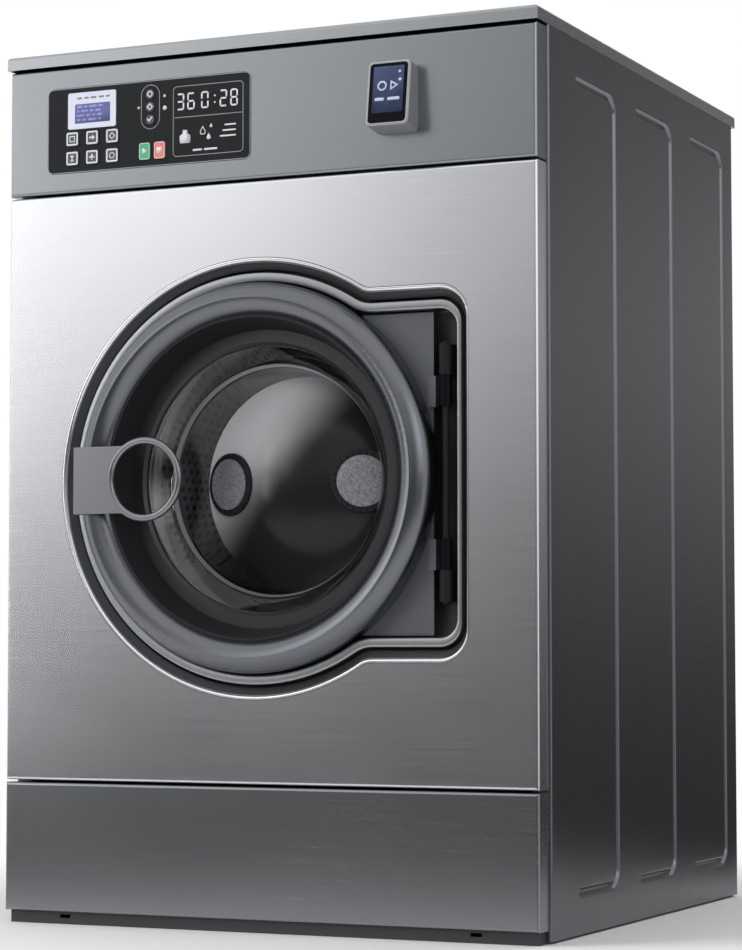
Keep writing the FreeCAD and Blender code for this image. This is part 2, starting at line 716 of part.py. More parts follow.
def pipe(x, path, bend, radius, bore):
    """A hose along a bent path in an upright plane."""
    points = [V(number(x), number(y), number(z)) for y, z in path]
    size = number(bend)
    edges = []
    start = points[0]
    for before, corner, after in zip(points, points[1:], points[2:]):
        inward = (before - corner).normalize()
        outward = (after - corner).normalize()
        touch = corner + inward * size
        leave = corner + outward * size
        centre = corner + (inward + outward) * size
        middle = centre - (inward + outward).normalize() * size
        edges.append(Part.LineSegment(start, touch).toShape())
        edges.append(Part.Arc(touch, middle, leave).toShape())
        start = leave
    edges.append(Part.LineSegment(start, points[-1]).toShape())
    spine = Part.Wire(edges)
    heading = (points[1] - points[0]).normalize()

    def swept(section):
        ring = Part.Wire(Part.Circle(points[0], heading, number(section)).toShape())
        return spine.makePipeShell([ring], True, True)

    item = doc.addObject("Part::Feature", "pipe")
    item.Shape = swept(radius).cut(swept(bore))
    return item


# Base frame

def base_frame():
    whole = block(("-base_side", "base_side"), ("base_front", "base_rear"), ("0", "base_height"))
    inside = block(
        ("rail_width - base_side", "base_side - rail_width"),
        ("base_front + rail_width", "base_rear - rail_width"),
        ("-rail_wall", "base_height + rail_wall"),
    )
    channel = block(
        ("rail_wall - base_side", "base_side - rail_wall"),
        ("base_front + rail_wall", "base_rear - rail_wall"),
        ("rail_wall", "base_height - rail_wall"),
    )
    tools = [inside, channel]
    for sign in ("-", ""):
        for y in ("base_front + anchor_inset", "-(base_front + anchor_inset)"):
            x = f"{sign}(base_side - anchor_inset)"
            tools.append(rod("z", x, y, "-rail_wall", "anchor_radius", "3 * rail_wall"))
        middle = f"{sign}notch_x"
        tools.append(block(
            (f"{middle} - notch_width / 2", f"{middle} + notch_width / 2"),
            ("base_front - rail_wall", "base_front + 2 * rail_wall"),
            ("2 * rail_wall", "2 * rail_wall + notch_height"),
        ))
    return cut(whole, *tools)


part("base_frame", base_frame())


# Side panels with pressed beads

def bead(number_along, grow, outer, depth):
    """One bracket-shaped bead, grown all round by a wall."""
    start = f"front + bead_start + {number_along} * bead_pitch"
    end = f"{start} + bead_reach"
    low = "side_bottom + bead_margin"
    high = "side_top - bead_margin"
    x = (f"{outer} - ({depth})", outer)
    whole = soft_block(
        x,
        (f"{start} - 2 * bead_round - {grow}", f"{end} + {grow}"),
        (f"{low} - {grow}", f"{high} + {grow}"),
        "x",
        f"bead_round + {grow}",
    )
    middle = soft_block(
        x,
        (f"{start} - 2 * bead_round", f"{end} - bead_width - {grow}"),
        (f"{low} + bead_width + {grow}", f"{high} - bead_width - {grow}"),
        "x",
        f"bead_round - bead_width / 2 - {grow}",
    )
    reach = block(
        x,
        (f"{start} - {grow}", f"{end} + 2 * {grow}"),
        (f"{low} - 2 * {grow}", f"{high} + 2 * {grow}"),
    )
    return shared(cut(whole, middle), reach)


def side_panel():
    outer = block(("side - side_flange", "side"), ("returned + fit_gap", "rear"), ("side_bottom", "side_top"))
    outer = rounded(outer, "edge_round", lambda edge: along("z")(edge) and in_plane("x", "side")(edge))
    hollow = block(
        ("side - side_flange - sheet", "side - sheet"),
        ("returned + fit_gap + sheet", "rear - sheet"),
        ("0", "side_top + sheet"),
    )
    base_room = block(
        ("side - side_flange - sheet", "base_side + fit_gap"),
        ("returned", "returned + side_flange"),
        ("0", "base_height + fit_gap"),
    )
    backs = [bead(index, "sheet", "side - sheet / 2", "bead_depth + sheet / 2") for index in range(3)]
    grooves = [bead(index, "0", "side", "bead_depth") for index in range(3)]
    return cut(join(cut(outer, hollow, base_room), *backs), *grooves)


right_side = part("right_side_panel", side_panel())
part("left_side_panel", mirrored(right_side))


# Rear panel and its screws

def valve_x(sign):
    return f"door_x {sign} valve_pitch / 2"


def rear_panel():
    wall = block(
        ("sheet + fit_gap - side", "side - sheet - fit_gap"),
        ("wall_front", "wall_front + sheet"),
        ("base_height + fit_gap", "front_height"),
    )
    start = "wall_front - sheet"
    length = "3 * sheet"

    def hole(x, z, radius):
        return rod("y", x, start, z, f"{radius} - stub_neck + hole_slack", length)

    return cut(
        wall,
        hole(valve_x("-"), "valve_z", "inlet_radius"),
        hole(valve_x("+"), "valve_z", "inlet_radius"),
        hole("door_x", "drain_z", "drain_radius"),
        hole("power_x + power_width / 2", "power_bottom + power_height / 2", "gland_radius"),
    )


def rear_screws():
    heads = []
    for sign in ("-", ""):
        for index in range(int(number("screw_count"))):
            x = f"{sign}(side - screw_inset)"
            height = f"screw_first + {index} * screw_pitch"
            heads.append(rod("y", x, "rear", height, "screw_radius", "screw_height"))
    return group(*heads)


part("rear_panel", rear_panel())
part("rear_screws", rear_screws())


# Lid and front panels

def lid():
    y = ("front - lid_nose", "rear + lid_overhang")
    outer = block(("-side", "side"), y, ("lid_bottom", "lid_bottom + lid_height"))
    outer = rounded(outer, "lid_round", in_plane("z", "lid_bottom + lid_height"))
    hollow = block(
        ("sheet - side", "side - sheet"),
        (f"{y[0]} + sheet", f"{y[1]} - sheet"),
        ("lid_bottom - sheet", "lid_bottom + lid_height - sheet"),
    )
    return cut(outer, hollow)


def front_tray(bottom, top, open_below="sheet"):
    """A front panel with its edges folded back."""
    outer = block(("-panel_side", "panel_side"), ("front", "returned"), (bottom, top))
    outer = rounded(outer, "edge_round", in_plane("y", "front"))
    hollow = block(
        ("sheet - panel_side", "panel_side - sheet"),
        ("front + sheet", "returned + sheet"),
        (f"{bottom} + {open_below}", f"{top} - sheet"),
    )
    return cut(outer, hollow)


LIP = "rim_width + groove_width + bevel_width"
SIDE_LIP = "side_rim + side_groove + side_bevel"

part("top_lid", lid())
part("kick_panel", front_tray("kick_bottom", "kick_top", "(-sheet)"))
part("front_panel", cut(
    front_tray("kick_top + panel_seam", "fascia_bottom - panel_seam"),
    keyhole((LIP, SIDE_LIP), "(-sheet)", "3 * sheet"),
))


# Door surround: sloped lip, groove, inner rim and a floor with the door's hole

def surround():
    lip = (f"{LIP} - surround_gap", f"{SIDE_LIP} - surround_gap")
    groove = ("rim_width + groove_width", "side_rim + side_groove")
    frame = cut(
        keyhole(lip, "0", "pan_depth"),
        keyhole_cone((f"{LIP} - 2 * surround_gap", f"{SIDE_LIP} - 2 * surround_gap"), groove, "bevel_depth"),
        keyhole(groove, "bevel_depth - surround_gap", "groove_depth - bevel_depth + surround_gap"),
    )
    rim = keyhole(("rim_width", "side_rim"), "rim_front", "pan_depth - rim_front")
    inside = keyhole(("0", "0"), "(-sheet)", "pan_depth - pan_floor + sheet")
    hole = rod("y", "door_x", "front", "door_z", "pan_hole", "2 * pan_depth")
    slot = block(
        ("tongue_x - tongue_thick / 2 - 2 * tongue_slack", "tongue_x + tongue_thick / 2 + tongue_slack"),
        ("pan_back - 2 * pan_floor", "pan_back + pan_floor"),
        ("door_z - tongue_half - tongue_slack", "door_z + tongue_half + tongue_slack"),
    )
    return cut(join(frame, rim), inside, hole, slot)


part("door_surround", surround())


# Door ring, lining, clamp and glass

def door_ring():
    crest = "(ring_outer + ring_inner) / 2"
    ring = on_axis([
        ("ring_inner", "front - ring_lip", "ring_arc", 1),
        (crest, "front - ring_crest", "ring_arc", 1),
        ("ring_outer", "front - ring_shoulder"),
        ("ring_outer", "front + ring_back"),
        ("skirt_outer", "front + ring_back"),
        ("skirt_outer", "front + skirt_back"),
        ("skirt_inner - skirt_lip", "front + skirt_back"),
        ("skirt_inner - skirt_lip", "front + skirt_back - skirt_wall"),
        ("skirt_inner", "front + skirt_back - skirt_wall"),
        ("skirt_inner", "front + cone_end"),
    ])
    seat = block(
        ("door_x - ring_outer - door_gap", "door_x - handle_pin_x + handle_knuckle + strap_gap"),
        ("handle_y - strap_thick", "pin_y + handle_knuckle + strap_gap"),
        ("door_z - strap_half - strap_gap", "door_z + strap_half + strap_gap"),
    )
    reach = "strap_half + handle_pin_over + fit_gap"
    hole = rod("z", "door_x - handle_pin_x", "pin_y", f"door_z - ({reach})", "handle_pin_radius + pin_fit",
               f"2 * ({reach})")
    return cut(ring, seat, hole)


def door_funnel():
    return on_axis([
        ("ring_inner - fit_gap", "front - ring_lip"),
        ("skirt_inner - fit_gap", "front + cone_end"),
        ("skirt_inner - fit_gap", "front + funnel_end"),
        ("skirt_inner - fit_gap - funnel_wall", "front + funnel_end"),
        ("ring_inner - fit_gap - funnel_wall", "front - ring_lip"),
    ])


def clamp_ring():
    return on_axis([
        ("clamp_outer", "clamp_front"),
        ("clamp_outer", "clamp_back"),
        ("clamp_inner", "clamp_back"),
        ("clamp_inner", "clamp_front + clamp_bevel"),
        ("clamp_inner + clamp_bevel", "clamp_front"),
    ])


def door_bowl():
    return on_axis([
        ("0", "bowl_end - dome_rise"),
        ("0", "bowl_end - dome_rise + bowl_wall", "dome_outer_radius", 1),
        ("outer_bowl_radius", "bowl_end - dome_rise + bowl_wall + dome_outer_rise"),
        ("shoulder_radius + bowl_wall", "front + shoulder_depth + bowl_wall / 2"),
        ("clamp_inner + bowl_wall", "glass_back"),
        ("clamp_outer", "glass_back"),
        ("clamp_outer", "glass_front"),
        ("clamp_inner", "glass_front"),
        ("shoulder_radius", "front + shoulder_depth"),
        ("bowl_radius", "bowl_end", "dome_radius", -1),
    ])


def bowl_pads():
    """Two discs seated on the dome, square to it."""
    tilt = "asin(pad_offset / dome_radius)"
    reach = "dome_radius + pad_height"
    pads = []
    for sign in (-1, 1):
        disc = doc.addObject("Part::Cylinder", "disc")
        bind(disc, Radius="pad_radius", Height="dome_rise + pad_height")
        lean = math.degrees(math.asin(number("pad_offset / dome_radius")))
        disc.Placement.Rotation = FreeCAD.Rotation(V(0, 0, 1), sign * lean).multiply(TURNS["y"])
        x = f"door_x + {sign} * sin({tilt}) * ({reach})"
        place(disc, x, f"dome_centre - cos({tilt}) * ({reach})", "door_z")
        dome = doc.addObject("Part::Sphere", "dome")
        bind(dome, Radius="dome_radius + fit_gap")
        place(dome, "door_x", "dome_centre", "door_z")
        pads.append(cut(disc, dome))
    return group(*pads)


part("door_ring", door_ring())
part("door_funnel", door_funnel())
part("glass_clamp_ring", clamp_ring())
part("door_bowl", door_bowl())
part("bowl_pads", bowl_pads())


# Hinge

def knuckle(low, length):
    return rod("z", "door_x + hinge_x", "hinge_y", f"door_z + {low}", "knuckle_radius", length)


def pin_bore():
    return rod("z", "door_x + hinge_x", "hinge_y", "door_z - 2 * knuckle_high", "pin_radius + pin_fit",
               "4 * knuckle_high")


FIXED_LOWS = ("(-knuckle_high)", "(knuckle_high - knuckle_length)")
DOOR_LOWS = (
    "(knuckle_length + fit_gap - knuckle_high)",
    "(knuckle_high - 2 * knuckle_length - fit_gap)",
)


def hinge_plate():
    right = "door_x + ring_outer - plate_edge"
    face = "front + ring_back + fit_gap"
    back = f"{face} + plate_thick"
    z = ("door_z - plate_half", "door_z + plate_half")
    plate = block(("door_x + plate_left", right), (face, back), z)
    around = rod("y", "door_x", "front", "door_z", "skirt_outer + fit_gap", "2 * pan_depth")
    pieces = [cut(plate, around)]
    for low in DOOR_LOWS:
        height = (f"door_z + {low}", f"door_z + {low} + knuckle_length")
        pieces.append(knuckle(low, "knuckle_length"))
        x = (f"{right} - plate_edge", "door_x + hinge_x")
        pieces.append(block(x, ("hinge_y + pin_radius + pin_fit", back), height))
    clear = block(
        (f"{right} + plate_edge", "door_x + hinge_x + knuckle_radius"),
        ("hinge_y + knuckle_radius", "pan_back"),
        ("door_z - knuckle_high", "door_z + knuckle_high"),
    )
    under_ring = rod("y", "door_x", "front", "door_z", "ring_outer + fit_gap", "ring_back + fit_gap")
    return cut(join(*pieces), clear, under_ring, pin_bore())


def hinge_bracket():
    floor = "pan_back - pan_floor - fit_gap"
    x = "door_x + hinge_x"
    leaf = block(
        (f"{x} - leaf_half", f"{x} + leaf_half"),
        (f"{floor} - leaf_thick", floor),
        ("door_z - knuckle_high", "door_z + knuckle_high"),
    )
    pieces = [leaf]
    for low in FIXED_LOWS:
        height = (f"door_z + {low}", f"door_z + {low} + knuckle_length")
        pieces.append(knuckle(low, "knuckle_length"))
        arm = (f"{x} - arm_half", f"{x} + arm_half")
        pieces.append(block(arm, ("hinge_y", f"{floor} - leaf_thick / 2"), height))
    return cut(join(*pieces), pin_bore())


part("hinge_plate", hinge_plate())
part("hinge_bracket", hinge_bracket())
part("hinge_pin", rod("z", "door_x + hinge_x", "hinge_y", "door_z - knuckle_high - pin_over", "pin_radius",
                      "2 * (knuckle_high + pin_over)"))


# Pull handle

def handle():
    pin_x = "door_x - handle_pin_x"
    y = ("handle_y - strap_thick", "handle_y")
    z = ("door_z - strap_half", "door_z + strap_half")
    strap = soft_block((f"{pin_x} - handle_knuckle", "door_x - loop_offset"), y, z, "y", "strap_round")
    ring_room = rod("y", "door_x - loop_offset", f"{y[0]} - strap_gap", "door_z", "loop_radius",
                    "strap_thick + 2 * strap_gap")
    loop = doc.addObject("Part::Torus", "loop")
    loop.Placement.Rotation = TURNS["y"]
    bind(loop, Radius1="loop_radius", Radius2="loop_wire")
    place(loop, "door_x - loop_offset", "handle_y - strap_thick / 2", "door_z")
    eye = rod("z", pin_x, "pin_y", z[0], "handle_knuckle", "2 * strap_half")
    arm = block(
        (f"{pin_x} - handle_knuckle", f"{pin_x} + handle_knuckle"),
        ("handle_y - strap_thick / 2", "pin_y"),
        z,
    )
    bore = rod("z", pin_x, "pin_y", f"{z[0]} - strap_gap", "handle_pin_radius + pin_fit",
               "2 * (strap_half + strap_gap)")
    return cut(join(cut(strap, ring_room), loop, eye, arm), bore)


part("handle", handle())
part("handle_pin", rod("z", "door_x - handle_pin_x", "pin_y", "door_z - strap_half - handle_pin_over",
                       "handle_pin_radius", "2 * (strap_half + handle_pin_over)"))


# Latch tongue and door lock

BOLT_TIP = "tongue_x - bolt_back"


def latch_tongue():
    body = block(
        ("tongue_x - tongue_thick / 2", "tongue_x + tongue_thick / 2"),
        ("front + ring_back", "front + tongue_back"),
        ("door_z - tongue_half", "door_z + tongue_half"),
    )
    window = block(
        ("tongue_x - tongue_thick", "tongue_x + tongue_thick"),
        ("bolt_y - bolt_radius - strike_room", "bolt_y + bolt_radius + strike_room"),
        ("door_z - bolt_radius - strike_room", "door_z + bolt_radius + strike_room"),
    )
    return cut(body, window)


def lock_housing():
    body = block(
        ("tongue_x - lock_left", "tongue_x + lock_right"),
        ("pan_back + fit_gap", "front + lock_back"),
        ("door_z - lock_half", "door_z + lock_half"),
    )
    slot = block(
        ("tongue_x - tongue_thick / 2 - 2 * tongue_slack", "tongue_x + tongue_thick / 2 + tongue_slack"),
        ("pan_back - tongue_slack", "front + tongue_back + tongue_slack"),
        ("door_z - tongue_half - tongue_slack", "door_z + tongue_half + tongue_slack"),
    )
    bore = rod("x", f"{BOLT_TIP} - bolt_length - bolt_slack", "bolt_y", "door_z", "bolt_radius + bolt_slack",
               "bolt_length + 2 * tongue_slack")
    return cut(body, slot, bore)


part("latch_tongue", latch_tongue())
part("lock_housing", lock_housing())
part("lock_bolt", rod("x", f"{BOLT_TIP} - bolt_length", "bolt_y", "door_z", "bolt_radius", "bolt_length"))


# Tub and its gasket

def gasket():
    start = "pan_back + fit_gap"
    end = "tub_face - fit_gap"
    middle = f"({start} + {end}) / 2"
    return on_axis([
        ("gasket_inner", start),
        ("gasket_outer + gasket_fold", start),
        ("gasket_outer + gasket_fold", f"{start} + gasket_wall"),
        ("gasket_outer", f"{start} + gasket_wall"),
        ("gasket_outer", f"{middle} - 2 * gasket_fold"),
        ("gasket_outer + gasket_fold", f"{middle} - gasket_fold"),
        ("gasket_outer + gasket_fold", f"{middle} + gasket_fold"),
        ("gasket_outer", f"{middle} + 2 * gasket_fold"),
        ("gasket_outer", end),
        ("gasket_inner", end),
        ("gasket_inner", f"{middle} + 2 * gasket_fold - gasket_wall / 2"),
        ("gasket_inner + gasket_fold", f"{middle} + gasket_fold - gasket_wall / 2"),
        ("gasket_inner + gasket_fold", f"{middle} - gasket_fold + gasket_wall / 2"),
        ("gasket_inner", f"{middle} - 2 * gasket_fold + gasket_wall / 2"),
    ])


part("tub_gasket", gasket())
part("tub_front", on_axis(tube_profile("gasket_inner - fit_gap", "tub_outer", "tub_face", "tub_plate_back")))
part("tub_shell", on_axis(
    tube_profile("tub_inner", "tub_outer", "tub_plate_back + fit_gap", "tub_back_face - fit_gap"),
))
part("tub_back", on_axis(
    tube_profile("shaft_radius + 2 * drum_lip", "tub_outer", "tub_back_face", "tub_back_end"),
))


def saddles():
    plates = []
    for start in ("tub_plate_back + saddle_inset", "tub_back_face - saddle_back"):
        y = (start, f"{start} + saddle_thick")
        plate = block(("-support_half", "support_half"), y,
                      ("base_height", "door_z - tub_outer + saddle_rise"))
        before = f"{start} - saddle_thick"
        tub = rod("y", "door_x", before, "door_z", "tub_outer + fit_gap", "3 * saddle_thick")
        window = block(
            ("-window_half", "window_half"),
            (f"{start} - sheet", f"{y[1]} + sheet"),
            ("0", "door_z - tub_outer - saddle_bridge"),
        )
        plates.append(cut(plate, tub, window))
    return group(*plates)


part("tub_saddles", saddles())


# Drum

def drum_shell():
    return on_axis([
        ("pan_hole", "drum_face"),
        ("drum_outer", "drum_face"),
        ("drum_outer", "drum_end"),
        ("drum_radius", "drum_end"),
        ("drum_radius", "drum_face + drum_sheet"),
        ("pan_hole + drum_sheet", "drum_face + drum_sheet"),
        ("pan_hole + drum_sheet", "drum_face + drum_lip"),
        ("pan_hole", "drum_face + drum_lip"),
    ])


def drum_back():
    rim = "drum_radius - fit_gap"
    return on_axis([
        ("0", "drum_end - drum_dish - drum_sheet"),
        ("flange_radius", "drum_end - drum_dish - drum_sheet"),
        (f"{rim} - drum_lip", "drum_end - drum_lip - drum_sheet"),
        (rim, "drum_end - drum_lip - drum_sheet"),
        (rim, "drum_end - drum_lip"),
        (f"{rim} - drum_lip", "drum_end - drum_lip"),
        ("flange_radius", "drum_end - drum_dish"),
        ("0", "drum_end - drum_dish"),
    ])


def lifters():
    """Ribs along the drum, spaced evenly round it."""
    foot = "sqrt((drum_radius - fit_gap)^2 - lifter_foot^2)"
    ribs = []
    count = int(number("lifter_count"))
    for index in range(count):
        body = doc.addObject("PartDesign::Body", "lifter")
        sketch = new_sketch(body, "XZ_Plane")
        draw_outline(sketch, [
            ("-lifter_foot", f"-({foot})"),
            ("lifter_foot", f"-({foot})"),
            ("lifter_top", f"lifter_height - ({foot})"),
            ("-lifter_top", f"lifter_height - ({foot})"),
        ])
        padded(body, sketch, "drum_depth - drum_dish - 2 * lifter_inset")
        body.Placement.Rotation = FreeCAD.Rotation(V(0, 1, 0), 360 * (index + 0.5) / count)
        place(body, "door_x", "drum_face + lifter_inset", "door_z")
        ribs.append(body)
    return group(*ribs)


def drum_shaft():
    return on_axis([
        ("0", "drum_end - drum_dish + fit_gap"),
        ("flange_radius", "drum_end - drum_dish + fit_gap"),
        ("flange_radius", "drum_end - drum_dish + fit_gap + flange_thick"),
        ("shaft_radius", "drum_end - drum_dish + fit_gap + flange_thick"),
        ("shaft_radius", "pulley_end + shaft_over"),
        ("0", "pulley_end + shaft_over"),
    ])


def bearing(start):
    mid_low = "(2 * shaft_radius + bearing_radius) / 3"
    mid_high = "(shaft_radius + 2 * bearing_radius) / 3"
    end = f"{start} + bearing_width"
    return on_axis([
        ("shaft_radius + pin_fit", start),
        (mid_low, start),
        (mid_low, f"{start} + bearing_groove"),
        (mid_high, f"{start} + bearing_groove"),
        (mid_high, start),
        ("bearing_radius", start),
        ("bearing_radius", end),
        (mid_high, end),
        (mid_high, f"{end} - bearing_groove"),
        (mid_low, f"{end} - bearing_groove"),
        (mid_low, end),
        ("shaft_radius + pin_fit", end),
    ])


def bearing_housing():
    bore = "bearing_radius + pin_fit"
    return on_axis([
        (bore, "housing_face"),
        ("housing_flange", "housing_face"),
        ("housing_flange", "housing_face + housing_plate"),
        ("housing_radius", "housing_face + 2 * housing_plate"),
        ("housing_radius", "housing_end"),
        (bore, "housing_end"),
    ])


def drum_pulley():
    middle = "(pulley_face + pulley_end) / 2"
    inner = "pulley_radius - pulley_rim"
    return on_axis([
        ("shaft_radius + pin_fit", "pulley_face"),
        ("pulley_hub", "pulley_face"),
        ("pulley_hub", f"{middle} - pulley_web / 2"),
        (inner, f"{middle} - pulley_web / 2"),
        (inner, "pulley_face"),
        ("pulley_radius", "pulley_face"),
        ("pulley_radius", "pulley_end"),
        (inner, "pulley_end"),
        (inner, f"{middle} + pulley_web / 2"),
        ("pulley_hub", f"{middle} + pulley_web / 2"),
        ("pulley_hub", "pulley_end"),
        ("shaft_radius + pin_fit", "pulley_end"),
    ])


part("drum_shell", drum_shell())
part("drum_back", drum_back())
part("drum_lifters", lifters())
part("drum_shaft", drum_shaft())
part("shaft_bearings", group(
    bearing("housing_face + bearing_width"),
    bearing("housing_end - 2 * bearing_width"),
))
part("bearing_housing", bearing_housing())
part("drum_pulley", drum_pulley())


# Motor drive

def on_motor(corners):
    return revolved("motor_axis_x", "motor_z", corners)


def motor_housing():
    cavity = "motor_end - motor_shaft_inside - fit_gap"
    bore = "motor_shaft_radius + pin_fit"
    return on_motor([
        ("0", "motor_face"),
        ("motor_radius - motor_bell", "motor_face"),
        ("motor_radius", "motor_face + motor_bell"),
        ("motor_radius", "motor_end - motor_bell"),
        ("motor_radius - motor_bell", "motor_end"),
        (bore, "motor_end"),
        (bore, cavity),
        ("0", cavity),
    ])


def motor_bracket():
    plate = block(
        ("-support_half", "support_half"),
        ("bracket_face", "bracket_face + bracket_length"),
        ("base_height", "bracket_top"),
    )
    cradle = block(
        ("motor_axis_x - cradle_half", "motor_axis_x + cradle_half"),
        ("bracket_face", "bracket_face + bracket_length"),
        ("bracket_top", "motor_z - motor_radius + cradle_rise"),
    )
    motor = rod("y", "motor_axis_x", "motor_face", "motor_z", "motor_radius + fit_gap", "motor_length")
    return cut(join(plate, cradle), motor)


belt_start = "(pulley_face + pulley_end - belt_width) / 2"

part("motor_housing", motor_housing())
part("motor_bracket", motor_bracket())
part("motor_shaft", on_motor([
    ("0", "motor_end - motor_shaft_inside"),
    ("motor_shaft_radius", "motor_end - motor_shaft_inside"),
    ("motor_shaft_radius", "pulley_end + shaft_over"),
    ("0", "pulley_end + shaft_over"),
]))
part("motor_pulley", on_motor(tube_profile(
    "motor_shaft_radius + pin_fit", "motor_pulley_radius", "pulley_face", "pulley_end")))
part("drive_belt", cut(
    loop_solid("fit_gap + belt_thick", belt_start, "belt_width"),
    loop_solid("fit_gap", f"{belt_start} - belt_thick", "belt_width + 2 * belt_thick"),
))


# Water and power

def stub(x, z, radius, bore, length, out):
    """A hollow stub on a narrower neck through the rear panel."""
    start = f"rear + {out} - ({length})"
    neck = rod("y", x, start, z, f"{radius} - stub_neck", length)
    free = rod("y", x, "rear + stub_free", z, radius, f"{out} - stub_free")
    hollow = rod("y", x, start, z, bore, f"{length} + {out}")
    return join(neck, free), hollow


def inlet_valve(x):
    back = "wall_front - fit_gap"
    body = soft_block(
        (f"{x} - valve_half", f"{x} + valve_half"),
        (f"{back} - valve_depth", back),
        ("valve_z - valve_half", "valve_z + valve_half"),
        "y",
        "edge_round",
    )
    outside, hollow = stub(x, "valve_z", "inlet_radius", "inlet_bore", "inlet_out + 4 * sheet", "inlet_out")
    nipple = rod("z", x, f"{back} - valve_depth / 2", "nipple_end", "nipple_radius",
                 "nipple_length + sheet")
    return cut(join(body, outside, nipple), hollow)


def fill_hose(x):
    back = "wall_front - fit_gap - valve_depth / 2"
    drop = "tub_back_face - hose_inset"
    return pipe(x, [
        (back, "nipple_end - fit_gap"),
        (back, "hose_level"),
        (drop, "hose_level"),
        (drop, "tub_top - fit_gap"),
    ], "hose_bend", "hose_radius", "hose_bore")


def drain_valve():
    start = "drain_valve_face"
    body = rod("y", "door_x", start, "drain_z", "drain_valve_radius", "drain_valve_length")
    length = f"rear + drain_out - ({start}) - drain_valve_length / 2"
    outside, hollow = stub("door_x", "drain_z", "drain_radius", "drain_bore", length, "drain_out")
    inlet = rod("y", "door_x", f"{start} - sheet", "drain_z", "drain_hose_bore", "drain_valve_length / 4")
    return cut(join(body, outside), hollow, inlet)


def drain_hose():
    drop = "tub_back_face - drain_inset"
    return pipe("door_x", [
        (drop, "door_z - tub_outer - fit_gap"),
        (drop, "drain_z"),
        ("drain_valve_face - fit_gap", "drain_z"),
    ], "drain_bend", "drain_hose_radius", "drain_hose_bore")


def power_box():
    back = "wall_front - fit_gap"
    body = block(
        ("power_x", "power_x + power_width"),
        (f"{back} - power_depth", back),
        ("power_bottom", "power_bottom + power_height"),
    )
    outside, hollow = stub("power_x + power_width / 2", "power_bottom + power_height / 2", "gland_radius",
                           "gland_bore", "gland_out + 4 * sheet", "gland_out")
    return cut(join(body, outside), hollow)


part("inlet_valves", group(*[inlet_valve(valve_x(sign)) for sign in "-+"]))
part("drain_valve", drain_valve())
part("water_hoses", group(drain_hose(), *[fill_hose(valve_x(sign)) for sign in "-+"]))
part("power_box", power_box())


# Control fascia

def centred(middle, size, grow="0"):
    return (f"{middle} - ({size}) / 2 - {grow}", f"{middle} + ({size}) / 2 + {grow}")


def plate_block(grow, y, corner):
    return soft_block(centred("plate_x", "plate_width", grow), y, centred("plate_z", "plate_height", grow), "y",
                      corner)


def key_places():
    """Name, centre and size of each square-cornered key."""
    places = []
    for row in range(2):
        for column in range(3):
            x = f"key_x + {column - 1} * key_pitch"
            z = f"key_z + {row} * key_rise"
            places.append((f"key_{row + 1}{column + 1}", x, z, "key_size", "key_size"))
    places.append(("start_key", "start_x", "start_z", "start_width", "start_height"))
    places.append(("stop_key", "stop_x", "start_z", "start_width", "start_height"))
    return places


def round_places():
    return [(f"round_key_{index + 1}", f"round_z + {index - 1} * round_pitch") for index in range(3)]


CAP = ("front - key_front", "key_back + key_foot / 2")
FOOT = ("key_back", "key_back + key_foot")
THROUGH = ("front - sheet", "front + plate_depth + sheet")


def square_key(x, z, width, height):
    cap = soft_block(centred(x, width), CAP, centred(z, height), "y", "key_corner")
    foot = block(centred(x, width, "key_flange"), FOOT, centred(z, height, "key_flange"))
    return join(cap, foot)


def round_key(z):
    cap = rod("y", "round_x", CAP[0], z, "round_radius", f"{CAP[1]} - ({CAP[0]})")
    foot = rod("y", "round_x", FOOT[0], z, "round_radius + key_flange", "key_foot")
    return join(cap, foot)


def control_plate():
    plate = plate_block("0", ("front - plate_front", "front + plate_depth"), "plate_corner")
    holes = [block(centred("lcd_x", "lcd_width", "key_slack"), THROUGH, centred("lcd_z", "lcd_height", "key_slack"))]
    for name, x, z, width, height in key_places():
        holes.append(soft_block(centred(x, width, "key_slack"), THROUGH, centred(z, height, "key_slack"), "y",
                                "key_corner + key_slack"))
    for name, z in round_places():
        holes.append(rod("y", "round_x", THROUGH[0], z, "round_radius + key_slack", "plate_depth + 2 * sheet"))
    return cut(plate, *holes)


def control_board():
    x = centred("plate_x", "plate_width", "(-board_margin)")
    z = centred("plate_z", "plate_height", "(-board_margin)")
    pieces = [block(x, ("board_face", "board_face + board_thick"), z)]
    start = "front + plate_depth + fit_gap"
    for post_x in (f"{x[0]} + post_inset", f"{x[1]} - post_inset"):
        for post_z in (f"{z[0]} + post_inset", f"{z[1]} - post_inset"):
            pieces.append(rod("y", post_x, start, post_z, "post_radius", f"board_face + board_thick - ({start})"))
    return join(*pieces)


part("fascia_panel", cut(
    front_tray("fascia_bottom", "front_height"),
    plate_block("fit_gap", THROUGH, "plate_corner + fit_gap"),
))
part("control_plate", control_plate())
part("control_board", control_board())
part("lcd_module", soft_block(
    centred("lcd_x", "lcd_width"),
    ("front - lcd_front", "front + lcd_depth"),
    centred("lcd_z", "lcd_height"),
    "y",
    "lcd_corner",
))
for name, x, z, width, height in key_places():
    part(name, square_key(x, z, width, height))
for name, z in round_places():
    part(name, round_key(z))


# Payment terminal

def leaned(item):
    """Tip a solid of the terminal so that its face looks up."""
    tipped = group(item)
    tipped.Placement.Rotation = FreeCAD.Rotation(V(1, 0, 0), -number("terminal_lean"))
    sine, cosine = "sin(terminal_lean)", "cos(terminal_lean)"
    place(
        tipped,
        "0",
        f"front - front * {cosine} - terminal_z * {sine}",
        f"terminal_z + front * {sine} - terminal_z * {cosine}",
    )
    return tipped


